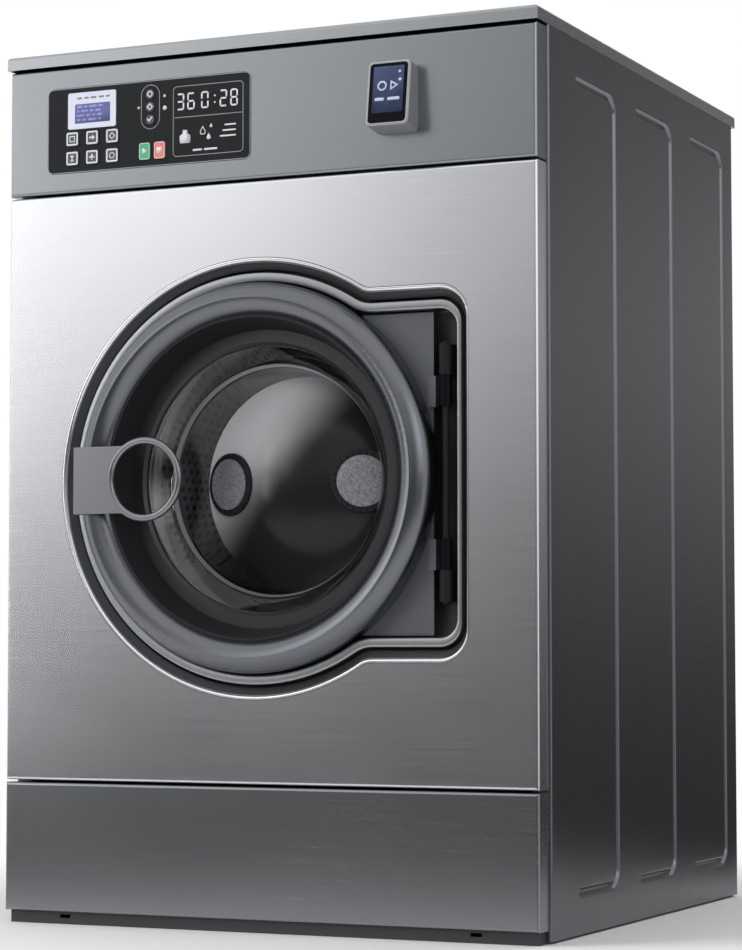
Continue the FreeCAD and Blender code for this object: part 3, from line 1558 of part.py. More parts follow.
def terminal_housing():
    body = soft_block(
        centred("terminal_x", "terminal_width"),
        ("front - terminal_depth", "front + terminal_depth"),
        centred("terminal_z", "terminal_height"),
        "y",
        "terminal_corner",
    )
    body = rounded(body, "terminal_edge", in_plane("y", "front - terminal_depth"))
    seat = soft_block(
        centred("terminal_x", "terminal_width", "(fit_gap - screen_margin)"),
        ("front - terminal_depth - screen_depth", "front - terminal_depth + screen_depth"),
        centred("terminal_z", "terminal_height", "(fit_gap - screen_margin)"),
        "y",
        "screen_corner",
    )
    behind = block(
        centred("terminal_x", "terminal_width", "terminal_depth"),
        ("front - fit_gap", "front + 2 * terminal_depth"),
        centred("terminal_z", "terminal_height", "terminal_depth"),
    )
    return cut(leaned(cut(body, seat)), behind)


part("terminal_housing", terminal_housing())
part("terminal_screen", leaned(soft_block(
    centred("terminal_x", "terminal_width", "(-screen_margin)"),
    ("front - terminal_depth", "front - terminal_depth + screen_depth"),
    centred("terminal_z", "terminal_height", "(-screen_margin)"),
    "y",
    "screen_corner",
)))


# Check and write every sub-part
doc.recompute()
for item in doc.Objects:
    if "Invalid" in item.State or "Error" in item.State:
        raise RuntimeError(f"{item.Name} ({item.Label}) is in state {item.State}")
os.makedirs("parts", exist_ok=True)
for item in PARTS:
    shape = item.Shape
    if shape.isNull() or not shape.isValid() or not shape.Solids:
        raise RuntimeError(f"{item.Label} has no valid solid")
    shape.exportStep(f"parts/{item.Label}.step")
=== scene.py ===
"""Models and finishes a free-standing front-loading washing machine."""

import math

import bmesh
import bpy
from bpy.props import FloatProperty, FloatVectorProperty, IntProperty, PointerProperty
from mathutils import Matrix, Vector


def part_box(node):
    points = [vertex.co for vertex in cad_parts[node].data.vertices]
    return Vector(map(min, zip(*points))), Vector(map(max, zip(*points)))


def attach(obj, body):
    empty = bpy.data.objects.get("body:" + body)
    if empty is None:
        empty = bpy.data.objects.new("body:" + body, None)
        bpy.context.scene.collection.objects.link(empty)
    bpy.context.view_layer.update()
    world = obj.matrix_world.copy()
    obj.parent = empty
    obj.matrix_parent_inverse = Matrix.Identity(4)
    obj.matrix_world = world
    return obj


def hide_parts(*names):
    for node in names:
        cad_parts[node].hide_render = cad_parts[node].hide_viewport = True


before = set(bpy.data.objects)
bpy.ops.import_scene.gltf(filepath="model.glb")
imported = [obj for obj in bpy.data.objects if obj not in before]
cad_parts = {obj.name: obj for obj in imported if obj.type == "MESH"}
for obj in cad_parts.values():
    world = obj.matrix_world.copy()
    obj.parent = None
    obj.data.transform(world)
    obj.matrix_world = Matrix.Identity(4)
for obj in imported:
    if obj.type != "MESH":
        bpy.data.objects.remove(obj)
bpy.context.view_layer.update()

bl_info = {
    "name": "Front-loading washer",
    "version": (1, 0, 0),
    "blender": (4, 5, 0),
    "location": "3D View > Sidebar > Washer",
    "description": "Models and finishes a free-standing front-loading washing machine",
    "category": "Object",
}

# Places read from the solids

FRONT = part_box("front_panel")[0].y
RING_LOW, RING_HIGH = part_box("door_ring")
DOOR = (RING_LOW + RING_HIGH) / 2
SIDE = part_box("right_side_panel")[1].x

# Directions and small distances

OUTWARD = Vector((0, -1, 0))
INWARD = Vector((0, 1, 0))
RIGHT = Vector((1, 0, 0))
UP = Vector((0, 0, 1))
TOUCH = 1e-5
FILM = 0.0001
FILM_LIFT = 0.00015


# Sizes and colours that a user would change

def length(name, description, default):
    return FloatProperty(name=name, description=description, default=default, unit="LENGTH", precision=5)


def angle(name, description, degrees):
    return FloatProperty(name=name, description=description, default=math.radians(degrees), subtype="ANGLE")


def count(name, description, default, least):
    return IntProperty(name=name, description=description, default=default, min=least)


def colour(name, description, default):
    return FloatVectorProperty(name=name, description=description, default=default, size=3, min=0, max=1,
                               subtype="COLOR")


class WasherCabinet(bpy.types.PropertyGroup):
    """Sizes and colours of the cabinet."""

    bead_width: length("Bead width", "Width of a pressed bead in a side panel", 0.012)
    bead_depth: length("Bead depth", "Depth of a pressed bead", 0.005)
    bead_round: length("Bead corner", "Outer corner radius of a bead", 0.026)
    bead_start: length("First bead", "Front face to the open end of the first bead", 0.133)
    bead_reach: length("Bead reach", "Open end of a bead to its upright's rear edge", 0.153)
    bead_pitch: length("Bead pitch", "Bead to bead", 0.237)
    bead_margin: length("Bead margin", "Bead to the panel's top and bottom edges", 0.048)
    sheet: length("Sheet", "Panel sheet thickness", 0.002)
    fold_round: length("Fold radius", "Rounding of a side panel's folded edges", 0.004)
    front_steel: colour("Front steel", "Brushed steel of the front", (0.72, 0.73, 0.76))
    fascia_steel: colour("Fascia steel", "Brushed steel of the control fascia", (0.3, 0.315, 0.335))
    kick_steel: colour("Kick steel", "Brushed steel of the kick panel", (0.3, 0.308, 0.322))
    lid_steel: colour("Lid steel", "Satin steel of the lid", (0.38, 0.395, 0.412))
    side_paint: colour("Side paint", "Charcoal metallic coat of the side panels", (0.165, 0.169, 0.182))


class WasherDoor(bpy.types.PropertyGroup):
    """Sizes and colours of the door and its surround."""

    rim_radius: length("Rim radius", "Surround's inner outline, round part", 0.2595)
    rim_right: length("Rim right", "Door axis to the surround's inner outline beside the hinge", 0.2885)
    rim_half: length("Rim half height", "Half height of the inner outline beside the hinge", 0.2105)
    rim_corner: length("Rim corner", "Corner radius of the inner outline", 0.024)
    mouth_blend: length("Outline fillet", "Fillet where the round and square outlines meet", 0.026)
    surround_width: length("Surround width", "Inner outline to the front panel, round part", 0.0325)
    side_width: length("Surround side width", "Inner outline to the front panel beside the hinge", 0.018)
    slot_gap: length("Slot gap", "Room above and below the latch tongue in its slot", 0.005)
    bowl_wall: length("Glass wall", "Thickness of the glass bowl", 0.006)
    dome_edge: length("Dome edge", "Radius of the bowl's domed end", 0.1461)
    dome_depth: length("Dome depth", "Front face to the edge of the domed end", 0.15)
    bend_highlight_width: length("Ground rim", "Half width of the ground rim at the bowl's bend", 0.004)
    dome_radius: length("Dome radius", "Radius of the domed end's curve", 0.2597)
    pad_radius: length("Pad radius", "Radius of a pad's dark seat", 0.043)
    pad_rim: length("Pad rim", "Width of the beaded seat round a pad", 0.008)
    pad_offset: length("Pad offset", "Bowl's axis to a pad's centre", 0.1)
    loop_offset: length("Loop offset", "Door axis to the centre of the handle's loop", 0.146)
    loop_radius: length("Loop radius", "Middle radius of the handle's loop", 0.0515)
    loop_wire: length("Loop section", "Section radius of the handle's loop", 0.005)
    strap_half: length("Strap half height", "Half the height of the handle's strap", 0.045)
    strap_thick: length("Strap thickness", "Thickness of the handle's strap", 0.008)
    handle_pin: length("Handle pin", "Door axis to the handle's pin", 0.246)
    handle_eye: length("Handle eye", "Radius round the handle's pin", 0.007)
    metal: colour("Door metal", "Satin metal of the ring and hinge plate", (0.168, 0.176, 0.192))
    handle_metal: colour("Handle metal", "Satin metal of the pull handle", (0.26, 0.267, 0.28))
    surround_grey: colour("Surround grey", "Satin dark grey of the surround", (0.09, 0.092, 0.097))
    rolled_steel: colour("Rolled steel", "Rolled edge of the surround", (0.9, 0.905, 0.92))
    rim_grey: colour("Rim grey", "Satin inner rim of the surround", (0.4, 0.41, 0.425))
    lining_black: colour("Lining black", "Black lining of the door", (0.012, 0.012, 0.014))
    clamp_grey: colour("Clamp grey", "Ring that holds the glass", (0.055, 0.056, 0.06))
    smoke: colour("Smoked glass", "Domed end of the bowl", (0.014, 0.0145, 0.016))
    # Colour of the painted highlight that lightens the dome's upper left shoulder
    dome_painted_highlight: colour("Dome painted highlight", "Painted highlight on the upper left shoulder of the domed end", (0.74, 0.75, 0.77))
    # Colour of the painted highlight band at the bowl's bend
    bend_highlight: colour("Ground rim", "Ground rim at the bowl's bend", (0.55, 0.56, 0.58))
    pad_grey: colour("Pad grey", "Speckled pads on the bowl", (0.2, 0.205, 0.22))


class WasherDrum(bpy.types.PropertyGroup):
    """Sizes and colours of the drum."""

    hole_radius: length("Hole radius", "Radius of a drum perforation", 0.0042)
    hole_rows: count("Hole rows", "Rows of perforations along the drum", 30, 4)
    hole_columns: count("Hole columns", "Columns round the drum", 150, 12)
    steel: colour("Drum steel", "Polished steel of the drum", (0.17, 0.174, 0.182))
    # Painted shade: the drum's outside is near black so that its holes read dark
    hole_painted_shade: colour("Drum painted shade", "Painted shade on the drum's outside, seen through its holes",
                    (0.008, 0.008, 0.009))


class WasherControls(bpy.types.PropertyGroup):
    """Sizes and colours of the control plate and the terminal."""

    print_line: length("Print line", "Width of the thin printed outlines", 0.0011)
    key_flange: length("Key flange", "Hidden flange round a key's cap", 0.0012)
    screen_depth: length("Screen depth", "Thickness of the terminal's glass", 0.002)
    terminal_lean: angle("Terminal tilt", "Tilt of the terminal's face", 8)
    plate_charcoal: colour("Plate charcoal", "Film over the control plate", (0.014, 0.0148, 0.017))
    print_pale: colour("Print", "Printed signs and figures", (0.62, 0.63, 0.65))
    print_grey: colour("Print grey", "Printed outlines on the plate", (0.24, 0.245, 0.255))
    display_silver: colour("Display silver", "Bezel of the display", (0.6, 0.62, 0.72))
    key_grey: colour("Key grey", "Moulded keys", (0.06, 0.062, 0.068))
    terminal_blue: colour("Terminal blue", "Glow of the terminal's display", (0.026, 0.036, 0.078))
    start_green: colour("Start green", "Start key", (0.06, 0.36, 0.18))
    stop_red: colour("Stop red", "Stop key", (0.68, 0.18, 0.14))
    window_blue: colour("Window blue", "Lit display window", (0.1, 0.105, 0.25))
    terminal_silver: colour("Terminal silver", "Terminal's housing", (0.33, 0.34, 0.36))


class WasherStage(bpy.types.PropertyGroup):
    """Floor, light and camera."""

    floor_pale: colour("Floor", "Pale studio floor", (0.74, 0.74, 0.74))
    eye: FloatVectorProperty(name="Camera place", description="Camera place in the machine's frame",
                             default=(1.668, -3.677, 0.366), size=3, subtype="XYZ", unit="LENGTH")
    yaw: angle("Yaw", "Camera turned to the left of straight ahead", 24.76)
    pitch: angle("Pitch", "Camera tilted up", 3.62)
    lens: FloatProperty(name="Lens", description="Focal length in millimetres", default=106.07)


# Shader nodes

def connect(tree, node, inputs):
    """Link or set a node's inputs."""
    for key, value in inputs.items():
        if isinstance(value, bpy.types.NodeSocket):
            tree.links.new(value, node.inputs[key])
        else:
            node.inputs[key].default_value = value


def add_node(tree, kind, inputs, **settings):
    """A shader node with its settings made and its inputs linked or set."""
    node = tree.nodes.new(kind)
    for name, value in settings.items():
        setattr(node, name, value)
    connect(tree, node, inputs)
    return node


def calculate(tree, operation, *values):
    """The result of a Math node."""
    return add_node(tree, "ShaderNodeMath", dict(enumerate(values)), operation=operation).outputs[0]


def blend_colour(tree, factor, first, second):
    """A mix of two colours by a factor."""
    inputs = {"Factor": factor, 6: first, 7: second}
    return add_node(tree, "ShaderNodeMix", inputs, data_type="RGBA").outputs[2]


def scale_colour(tree, base, factor):
    """A colour made lighter or darker by a factor."""
    inputs = {0: base, "Scale": factor}
    return add_node(tree, "ShaderNodeVectorMath", inputs, operation="SCALE").outputs["Vector"]


def object_place(tree):
    """A place in the machine's own frame."""
    return add_node(tree, "ShaderNodeTexCoord", {}).outputs["Object"]


def axes_of(tree, vector):
    """The three parts of a vector."""
    return add_node(tree, "ShaderNodeSeparateXYZ", {0: vector}).outputs


def noise(tree, vector, scale, detail=3, roughness=0.6):
    """The value of a noise texture."""
    inputs = {"Vector": vector, "Scale": scale, "Detail": detail, "Roughness": roughness}
    return add_node(tree, "ShaderNodeTexNoise", inputs).outputs["Fac"]


def ramp(tree, value, stops):
    """Grey stops along a value that runs from -1 to 1."""
    node = add_node(tree, "ShaderNodeValToRGB", {"Fac": calculate(tree, "MULTIPLY_ADD", value, 0.5, 0.5)})
    elements = node.color_ramp.elements
    elements[0].position = 0
    elements[1].position = 1
    for place, _ in stops[1:-1]:
        elements.new(place / 2 + 0.5)
    for element, (_, shade) in zip(elements, stops):
        element.color = (shade, shade, shade, 1)
    return node.outputs["Color"]


def new_material(name):
    """A material, its node tree and its Principled shader."""
    material = bpy.data.materials.new(name)
    material.use_nodes = True
    return material, material.node_tree, material.node_tree.nodes["Principled BSDF"]


# Shared surface effects

EVEN_FINE = (900, 900, 900)
EVEN_COARSE = (260, 260, 260)
SPANGLED = (40, 40, 40)
BRUSHED_ACROSS = (6, 420, 420)
BRUSHED_DEEP = (420, 6, 420)
GRAIN_HEIGHT = 0.0005


def grain_group():
    """Fine grain over broad clouds: brushed when stretched, a coat or casting when even."""
    ready = bpy.data.node_groups.get("Grain")
    if ready:
        return ready
    tree = bpy.data.node_groups.new("Grain", "ShaderNodeTree")
    for way, kind, labels in (
        ("INPUT", "NodeSocketColor", ("Colour",)),
        ("INPUT", "NodeSocketVector", ("Stretch",)),
        ("INPUT", "NodeSocketFloat", ("Contrast", "Cloud", "Roughness", "Spread")),
        ("OUTPUT", "NodeSocketColor", ("Colour",)),
        ("OUTPUT", "NodeSocketFloat", ("Roughness", "Height")),
    ):
        for label in labels:
            tree.interface.new_socket(label, in_out=way, socket_type=kind)
    start = tree.nodes.new("NodeGroupInput").outputs
    place = object_place(tree)
    stretched = add_node(tree, "ShaderNodeMapping", {"Vector": place, "Scale": start["Stretch"]})
    fine = noise(tree, stretched.outputs["Vector"], 1.0, 4, 0.65)
    broad = noise(tree, place, 2.5, 2, 0.5)
    fine_swing = calculate(tree, "SUBTRACT", fine, 0.5)
    broad_swing = calculate(tree, "SUBTRACT", broad, 0.5)
    shade = calculate(tree, "MULTIPLY_ADD", fine_swing, start["Contrast"], 1.0)
    shade = calculate(tree, "MULTIPLY_ADD", broad_swing, start["Cloud"], shade)
    rough = calculate(tree, "MULTIPLY_ADD", fine_swing, start["Spread"], start["Roughness"])
    rough = calculate(tree, "MULTIPLY_ADD", broad_swing, start["Spread"], rough)
    connect(tree, tree.nodes.new("NodeGroupOutput"),
            {"Colour": scale_colour(tree, start["Colour"], shade), "Roughness": rough, "Height": fine})
    return tree


def finish(name, base, roughness, metallic=0.0, stretch=EVEN_FINE, contrast=0.12, cloud=0.1, spread=0.08,
           bump=0.05, specular=0.5):
    """A named surface finish with grain in its colour, gloss and relief."""
    ready = bpy.data.materials.get(name)
    if ready:
        return ready
    material, tree, shader = new_material(name)
    settings = {"Colour": (*base, 1), "Stretch": stretch, "Contrast": contrast, "Cloud": cloud,
                "Roughness": roughness, "Spread": spread}
    grain = add_node(tree, "ShaderNodeGroup", settings, node_tree=grain_group()).outputs
    relief = add_node(tree, "ShaderNodeBump",
                      {"Strength": bump, "Distance": GRAIN_HEIGHT, "Height": grain["Height"]})
    connect(tree, shader, {"Base Color": grain["Colour"], "Roughness": grain["Roughness"],
                           "Normal": relief.outputs["Normal"], "Metallic": metallic,
                           "Specular IOR Level": specular})
    return material


def tint_where(material, factor, tint):
    """Blend a finish's colour to a tint by a factor from its own tree."""
    tree = material.node_tree
    shader = tree.nodes["Principled BSDF"]
    plain = shader.inputs["Base Color"].links[0].from_socket
    connect(tree, shader, {"Base Color": blend_colour(tree, factor, plain, (*tint, 1))})


def let_light_through(material, share):
    """Let a share of the light pass a glass to what stands behind it."""
    tree = material.node_tree
    passing = add_node(tree, "ShaderNodeBsdfTransparent", {"Color": (share, share, share, 1)})
    shadow = add_node(tree, "ShaderNodeLightPath", {}).outputs["Is Shadow Ray"]
    glass = tree.nodes["Principled BSDF"].outputs["BSDF"]
    blend = add_node(tree, "ShaderNodeMixShader", {"Fac": shadow, 1: glass, 2: passing.outputs["BSDF"]})
    connect(tree, tree.nodes["Material Output"], {"Surface": blend.outputs["Shader"]})


def clear_glass(name):
    """Slightly smoked clear glass that lets light through to what stands behind it."""
    material, tree, shader = new_material(name)
    smear = noise(tree, object_place(tree), 14, 4)
    connect(tree, shader, {"Base Color": (0.97, 0.975, 0.98, 1), "IOR": 1.45, "Transmission Weight": 1,
                           "Roughness": calculate(tree, "MULTIPLY_ADD", smear, 0.02, 0.0)})
    let_light_through(material, 0.9)
    return material


def lit(name, base, glow, strength, bottom, top):
    """A backlit window whose own glow comes in soft patches and rises from its bottom to its top as a
    painted sheen.
    """
    material = finish(name, base, 0.4, 0, EVEN_COARSE, 0.2, 0.3, 0.05, 0.0, specular=0.1)
    tree = material.node_tree
    place = object_place(tree)
    patch = calculate(tree, "MULTIPLY_ADD", noise(tree, place, 55, 2), 1.4, 0.3)
    # Painted sheen: the glow is scaled up towards the window's top
    limits = {"Value": axes_of(tree, place)["Z"], "From Min": bottom, "From Max": top, "To Min": 0.35,
              "To Max": 1.9}
    painted_sheen_rise = add_node(tree, "ShaderNodeMapRange", limits)
    level = calculate(tree, "MULTIPLY", patch, painted_sheen_rise.outputs["Result"])
    connect(tree, tree.nodes["Principled BSDF"],
            {"Emission Color": scale_colour(tree, glow, level), "Emission Strength": strength})
    return material


# Modelling helpers

def of_kind(items, kind):
    """The vertices, edges or faces among mixed items."""
    return [item for item in items if isinstance(item, kind)]


def made_verts(result):
    """The vertices that a modelling step made."""
    return of_kind(result["geom"], bmesh.types.BMVert)


def made_faces(result):
    """The faces that a modelling step made."""
    return of_kind(result["geom"], bmesh.types.BMFace)


def everything(bm):
    """All vertices, edges and faces."""
    return bm.verts[:] + bm.edges[:] + bm.faces[:]


def with_ends(edges):
    """Edges together with their vertices."""
    return list({vert for edge in edges for vert in edge.verts}) + edges


def give(faces, index):
    """Give faces one of their piece's finishes."""
    for face in faces:
        face.material_index = index


def sweep(bm, geom, centre, axis, turn, steps, merge=False, copies=False, shift=(0, 0, 0)):
    """Spin geometry round an axis, as a swept surface or as copies."""
    return bmesh.ops.spin(bm, geom=geom, cent=centre, axis=axis, dvec=shift, angle=turn, steps=steps,
                          use_merge=merge, use_duplicate=copies)


def soften(bm, edges, width, segments=3):
    """Round off edges."""
    return bmesh.ops.bevel(bm, geom=edges, offset=width, offset_type="OFFSET", segments=segments,
                           profile=0.5, affect="EDGES", material=-1, clamp_overlap=True)


def bridge(bm, loops):
    """Join a row of loops with faces."""
    made = []
    for near, far in zip(loops, loops[1:]):
        made.append(bmesh.ops.bridge_loops(bm, edges=near + far)["faces"])
    return made


def towards(bm, direction):
    """Turn a sheet so that most of it faces a direction."""
    facing = sum(face.normal.dot(direction) * face.calc_area() for face in bm.faces)
    if facing < 0:
        bmesh.ops.reverse_faces(bm, faces=bm.faces)


class Pen:
    """Draws a closed outline edge by edge from one vertex."""

    def __init__(self, bm, start):
        self.bm = bm
        self.known = set(bm.edges)
        self.first = bm.verts.new(start)
        self.tip = self.first

    def line(self, *ends):
        """Straight edges from end to end."""
        for end in ends:
            made = bmesh.ops.extrude_vert_indiv(self.bm, verts=[self.tip])
            self.tip = made["verts"][0]
            bmesh.ops.translate(self.bm, vec=Vector(end) - self.tip.co, verts=[self.tip])

    def arc(self, centre, axis, degrees, steps):
        """A round stretch about a centre."""
        made = sweep(self.bm, [self.tip], centre, axis, math.radians(degrees), steps)
        self.tip = of_kind(made["geom_last"], bmesh.types.BMVert)[0]

    def close(self):
        """Join the last vertex to the first, and give the outline's edges."""
        bmesh.ops.weld_verts(self.bm, targetmap={self.tip: self.first})
        return [edge for edge in self.bm.edges if edge not in self.known]


def piece(name, bm, body, materials, nodes=(), crease=35.0):
    """Turn a bmesh into a finished piece that rides on its body."""
    mesh = bpy.data.meshes.new(name)
    bm.to_mesh(mesh)
    bm.free()
    mesh.shade_smooth()
    mesh.set_sharp_from_angle(angle=math.radians(crease))
    for material in materials:
        mesh.materials.append(material)
    made = bpy.data.objects.new(name, mesh)
    bpy.context.scene.collection.objects.link(made)
    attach(made, body)
    if nodes:
        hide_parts(*nodes)
    return made


def thicken(made, thickness):
    """Give a sheet its thickness behind its face."""
    wall = made.modifiers.new("Sheet", "SOLIDIFY")
    wall.thickness = thickness
    wall.offset = -1


def even_normals(made):
    """Keep large flat faces flat next to rounded edges."""
    shading = made.modifiers.new("Shading", "WEIGHTED_NORMAL")
    shading.keep_sharp = True


def dress(material, *names):
    """Give solids a finish."""
    for name in names:
        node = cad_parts[name]
        node.data.materials.clear()
        node.data.materials.append(material)


# Side panels

BEAD_COUNT = 3


def bead_loop(bm, sizes, index, spread, x):
    """A closed loop round a bracket-shaped bead, a spread away from its middle line."""
    low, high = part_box("right_side_panel")
    half = sizes.bead_width / 2
    bend = sizes.bead_round - half
    open_end = FRONT + sizes.bead_start + index * sizes.bead_pitch
    upright = open_end + sizes.bead_reach - half
    top = high.z - sizes.bead_margin - half
    bottom = low.z + sizes.bead_margin + half
    cap = open_end + half
    turn = upright - bend
    pen = Pen(bm, (x, cap, top + spread))
    pen.line((x, turn, top + spread))
    pen.arc((x, turn, top - bend), RIGHT, -90, 8)
    pen.line((x, upright + spread, bottom + bend))
    pen.arc((x, turn, bottom + bend), RIGHT, -90, 8)
    pen.line((x, cap, bottom - spread))
    pen.arc((x, cap, bottom), RIGHT, -180, 8)
    pen.line((x, turn, bottom + spread))
    pen.arc((x, turn, bottom + bend), RIGHT, 90, 8)
    pen.line((x, upright - spread, top - bend))
    pen.arc((x, turn, top - bend), RIGHT, 90, 8)
    pen.line((x, cap, top - spread))
    pen.arc((x, cap, top), RIGHT, -180, 8)
    return pen.close()


def side_panel(sizes):
    """The right side panel: a sheet with pressed beads and folded edges."""
    low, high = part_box("right_side_panel")
    bm = bmesh.new()
    half = sizes.bead_width / 2
    deep = sizes.bead_depth
    shoulder = [(half + 0.0015, 0), (half + 0.0002, 0.0003), (half - 0.0008, 0.0013)]
    foot = [(half - 0.0032, deep - 0.001), (half - 0.004, deep - 0.0003), (half - 0.0048, deep)]
    rims = []
    for index in range(BEAD_COUNT):
        loops = [bead_loop(bm, sizes, index, spread, SIDE - sunk) for spread, sunk in shoulder + foot]
        bridge(bm, loops)
        bmesh.ops.triangle_fill(bm, edges=loops[-1], use_beauty=True)
        rims += loops[0]
    fold = sizes.fold_round
    front, rear = low.y + fold, high.y - fold
    pen = Pen(bm, (SIDE, front, low.z))
    pen.line((SIDE, rear, low.z), (SIDE, rear, high.z), (SIDE, front, high.z), (SIDE, front, low.z))
    border = pen.close()
    bmesh.ops.triangle_fill(bm, edges=border + rims, use_beauty=True)
    for y, way in ((front, -1), (rear, 1)):
        edge = [item for item in border if all(abs(vert.co.y - y) < TOUCH for vert in item.verts)]
        made = sweep(bm, with_ends(edge), (SIDE - fold, y, 0), UP, way * math.pi / 2, 5)
        run = bmesh.ops.extrude_edge_only(bm, edges=of_kind(made["geom_last"], bmesh.types.BMEdge))
        bmesh.ops.translate(bm, vec=(low.x - (SIDE - fold), 0, 0), verts=made_verts(run))
    bmesh.ops.remove_doubles(bm, verts=bm.verts, dist=TOUCH)
    bmesh.ops.recalc_face_normals(bm, faces=bm.faces)
    towards(bm, RIGHT)
    return bm


# Door surround, its section as steps out from the inner rim and depths behind the front face

GREY, ROLLED, BLACK, RIM = range(4)
SURROUND_FLOOR = 0.03
SURROUND_HOLE = 0.212
SURROUND_SHEET = 0.0015
SURROUND_SECTION = [
    (ROLLED, [(0.032, 0.0018), (0.032, 0.0002), (0.0314, -0.0008), (0.0302, -0.0011), (0.0285, -0.0007),
              (0.027, 0.0005), (0.0258, 0.0022)]),
    (GREY, [(0.0248, 0.0034), (0.0172, 0.0096), (0.0166, 0.0102), (0.0163, 0.0112)]),
    (BLACK, [(0.0163, 0.024), (0.0125, 0.024)]),
    (GREY, [(0.0125, 0.0056)]),
    (RIM, [(0.0121, 0.0042), (0.0112, 0.0033), (0.0096, 0.003), (0.0064, 0.0028), (0.0032, 0.003),
           (0.0014, 0.0034), (0.0004, 0.0044), (0, 0.006)]),
    (GREY, [(0, 0.0285), (-0.0006, 0.0296), (-0.0018, SURROUND_FLOOR)]),
]


def keyhole_loop(bm, sizes, out, side_out, depth):
    """The surround's outline, a step out from its inner rim."""
    big = sizes.rim_radius + out
    wide = sizes.rim_right + side_out
    high = sizes.rim_half + out
    bend = sizes.rim_corner + side_out
    fillet = sizes.mouth_blend + sizes.surround_width - out
    reach = math.sqrt((big + fillet) ** 2 - (high + fillet) ** 2)
    opening = math.degrees(math.atan2(high + fillet, reach))
    y = FRONT + depth

    def at(x, z):
        return Vector((DOOR.x + x, y, DOOR.z + z))

    meet = math.radians(opening)
    pen = Pen(bm, at(big * math.cos(meet), big * math.sin(meet)))
    pen.arc(at(0, 0), OUTWARD, 360 - 2 * opening, 112)
    pen.arc(at(reach, -high - fillet), INWARD, 90 - opening, 10)
    pen.line(at(wide - bend, -high))
    pen.arc(at(wide - bend, bend - high), OUTWARD, 90, 12)
    pen.line(at(wide, high - bend))
    pen.arc(at(wide - bend, high - bend), OUTWARD, 90, 12)
    pen.line(at(reach, high))
    pen.arc(at(reach, high + fillet), INWARD, 90 - opening, 10)
    return pen.close()


def circle_loop(bm, radius, depth, steps):
    """A round loop on the door axis."""
    pen = Pen(bm, on_profile(radius, depth))
    pen.arc(on_profile(0, depth), OUTWARD, 360, steps)
    return pen.close()


def tongue_slot(bm, sizes):
    """The slot in the surround's floor for the latch tongue."""
    low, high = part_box("latch_tongue")
    left, right = low.x - 0.01, high.x + 0.005
    bottom, top = low.z - sizes.slot_gap, high.z + sizes.slot_gap
    y = FRONT + SURROUND_FLOOR
    pen = Pen(bm, (left, y, bottom))
    pen.line((right, y, bottom), (right, y, top), (left, y, top), (left, y, bottom))
    return pen.close()


def surround(sizes):
    """Rolled steel edge, sloped lip, groove, inner rim and floor of the door surround."""
    bm = bmesh.new()
    ratio = sizes.side_width / sizes.surround_width
    stations = [(index, out, depth) for index, run in SURROUND_SECTION for out, depth in run]
    loops = [keyhole_loop(bm, sizes, out, out * ratio, depth) for _, out, depth in stations]
    for band, (index, _, _) in zip(bridge(bm, loops), stations[1:]):
        give(band, index)
    hole = circle_loop(bm, SURROUND_HOLE, SURROUND_FLOOR, 120)
    slot = tongue_slot(bm, sizes)
    floor = bmesh.ops.triangle_fill(bm, edges=loops[-1] + hole + slot, use_beauty=True)
    lining = bmesh.ops.extrude_edge_only(bm, edges=slot)
    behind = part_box("lock_housing")[0].y - FRONT - SURROUND_FLOOR
    bmesh.ops.translate(bm, vec=(0, behind, 0), verts=made_verts(lining))
    give(made_faces(floor) + made_faces(lining), BLACK)
    bmesh.ops.recalc_face_normals(bm, faces=bm.faces)
    towards(bm, OUTWARD)
    return bm


# Turned pieces on the door and drum axis

def on_profile(radius, depth):
    """A point of a turned piece's outline."""
    return Vector((DOOR.x + radius, FRONT + depth, DOOR.z))


def from_axis(place):
    """How far a place lies from the door axis."""
    return math.hypot(place.x - DOOR.x, place.z - DOOR.z)


def spin_round(bm, edges, steps=128):
    """Spin an outline once round the door axis."""
    sweep(bm, with_ends(edges), (DOOR.x, 0, DOOR.z), INWARD, 2 * math.pi, steps, merge=True)
    bmesh.ops.remove_doubles(bm, verts=bm.verts, dist=TOUCH)
    bmesh.ops.recalc_face_normals(bm, faces=bm.faces)


def ring_edges(bm, radius, depth):
    """The edges of a turned piece at one radius and depth."""
    near = 10 * TOUCH

    def on_ring(vert):
        return abs(from_axis(vert.co) - radius) < near and abs(vert.co.y - FRONT - depth) < near

    return [edge for edge in bm.edges if all(on_ring(vert) for vert in edge.verts)]


# Glass bowl: radii of its flange, mouth and neck, and their depths behind the front face

FLANGE_RADIUS = 0.2021
FLANGE_DEPTH = 0.0365
FLANGE_THICK = 0.008
MOUTH_RADIUS = 0.1781
MOUTH_ROUND = 0.003
NECK_RADIUS = 0.1521
NECK_DEPTH = 0.066
NECK_ROUND = 0.012
# The third slot holds the painted highlight band at the bowl's bend
SMOKED, BEND_HIGHLIGHT = 1, 2


def dome_centre(sizes):
    """Centre of the bowl's domed end, and the angle from its middle to its edge."""
    lean = math.asin(sizes.dome_edge / sizes.dome_radius)
    return on_profile(0, sizes.dome_depth + sizes.dome_radius * math.cos(lean)), lean


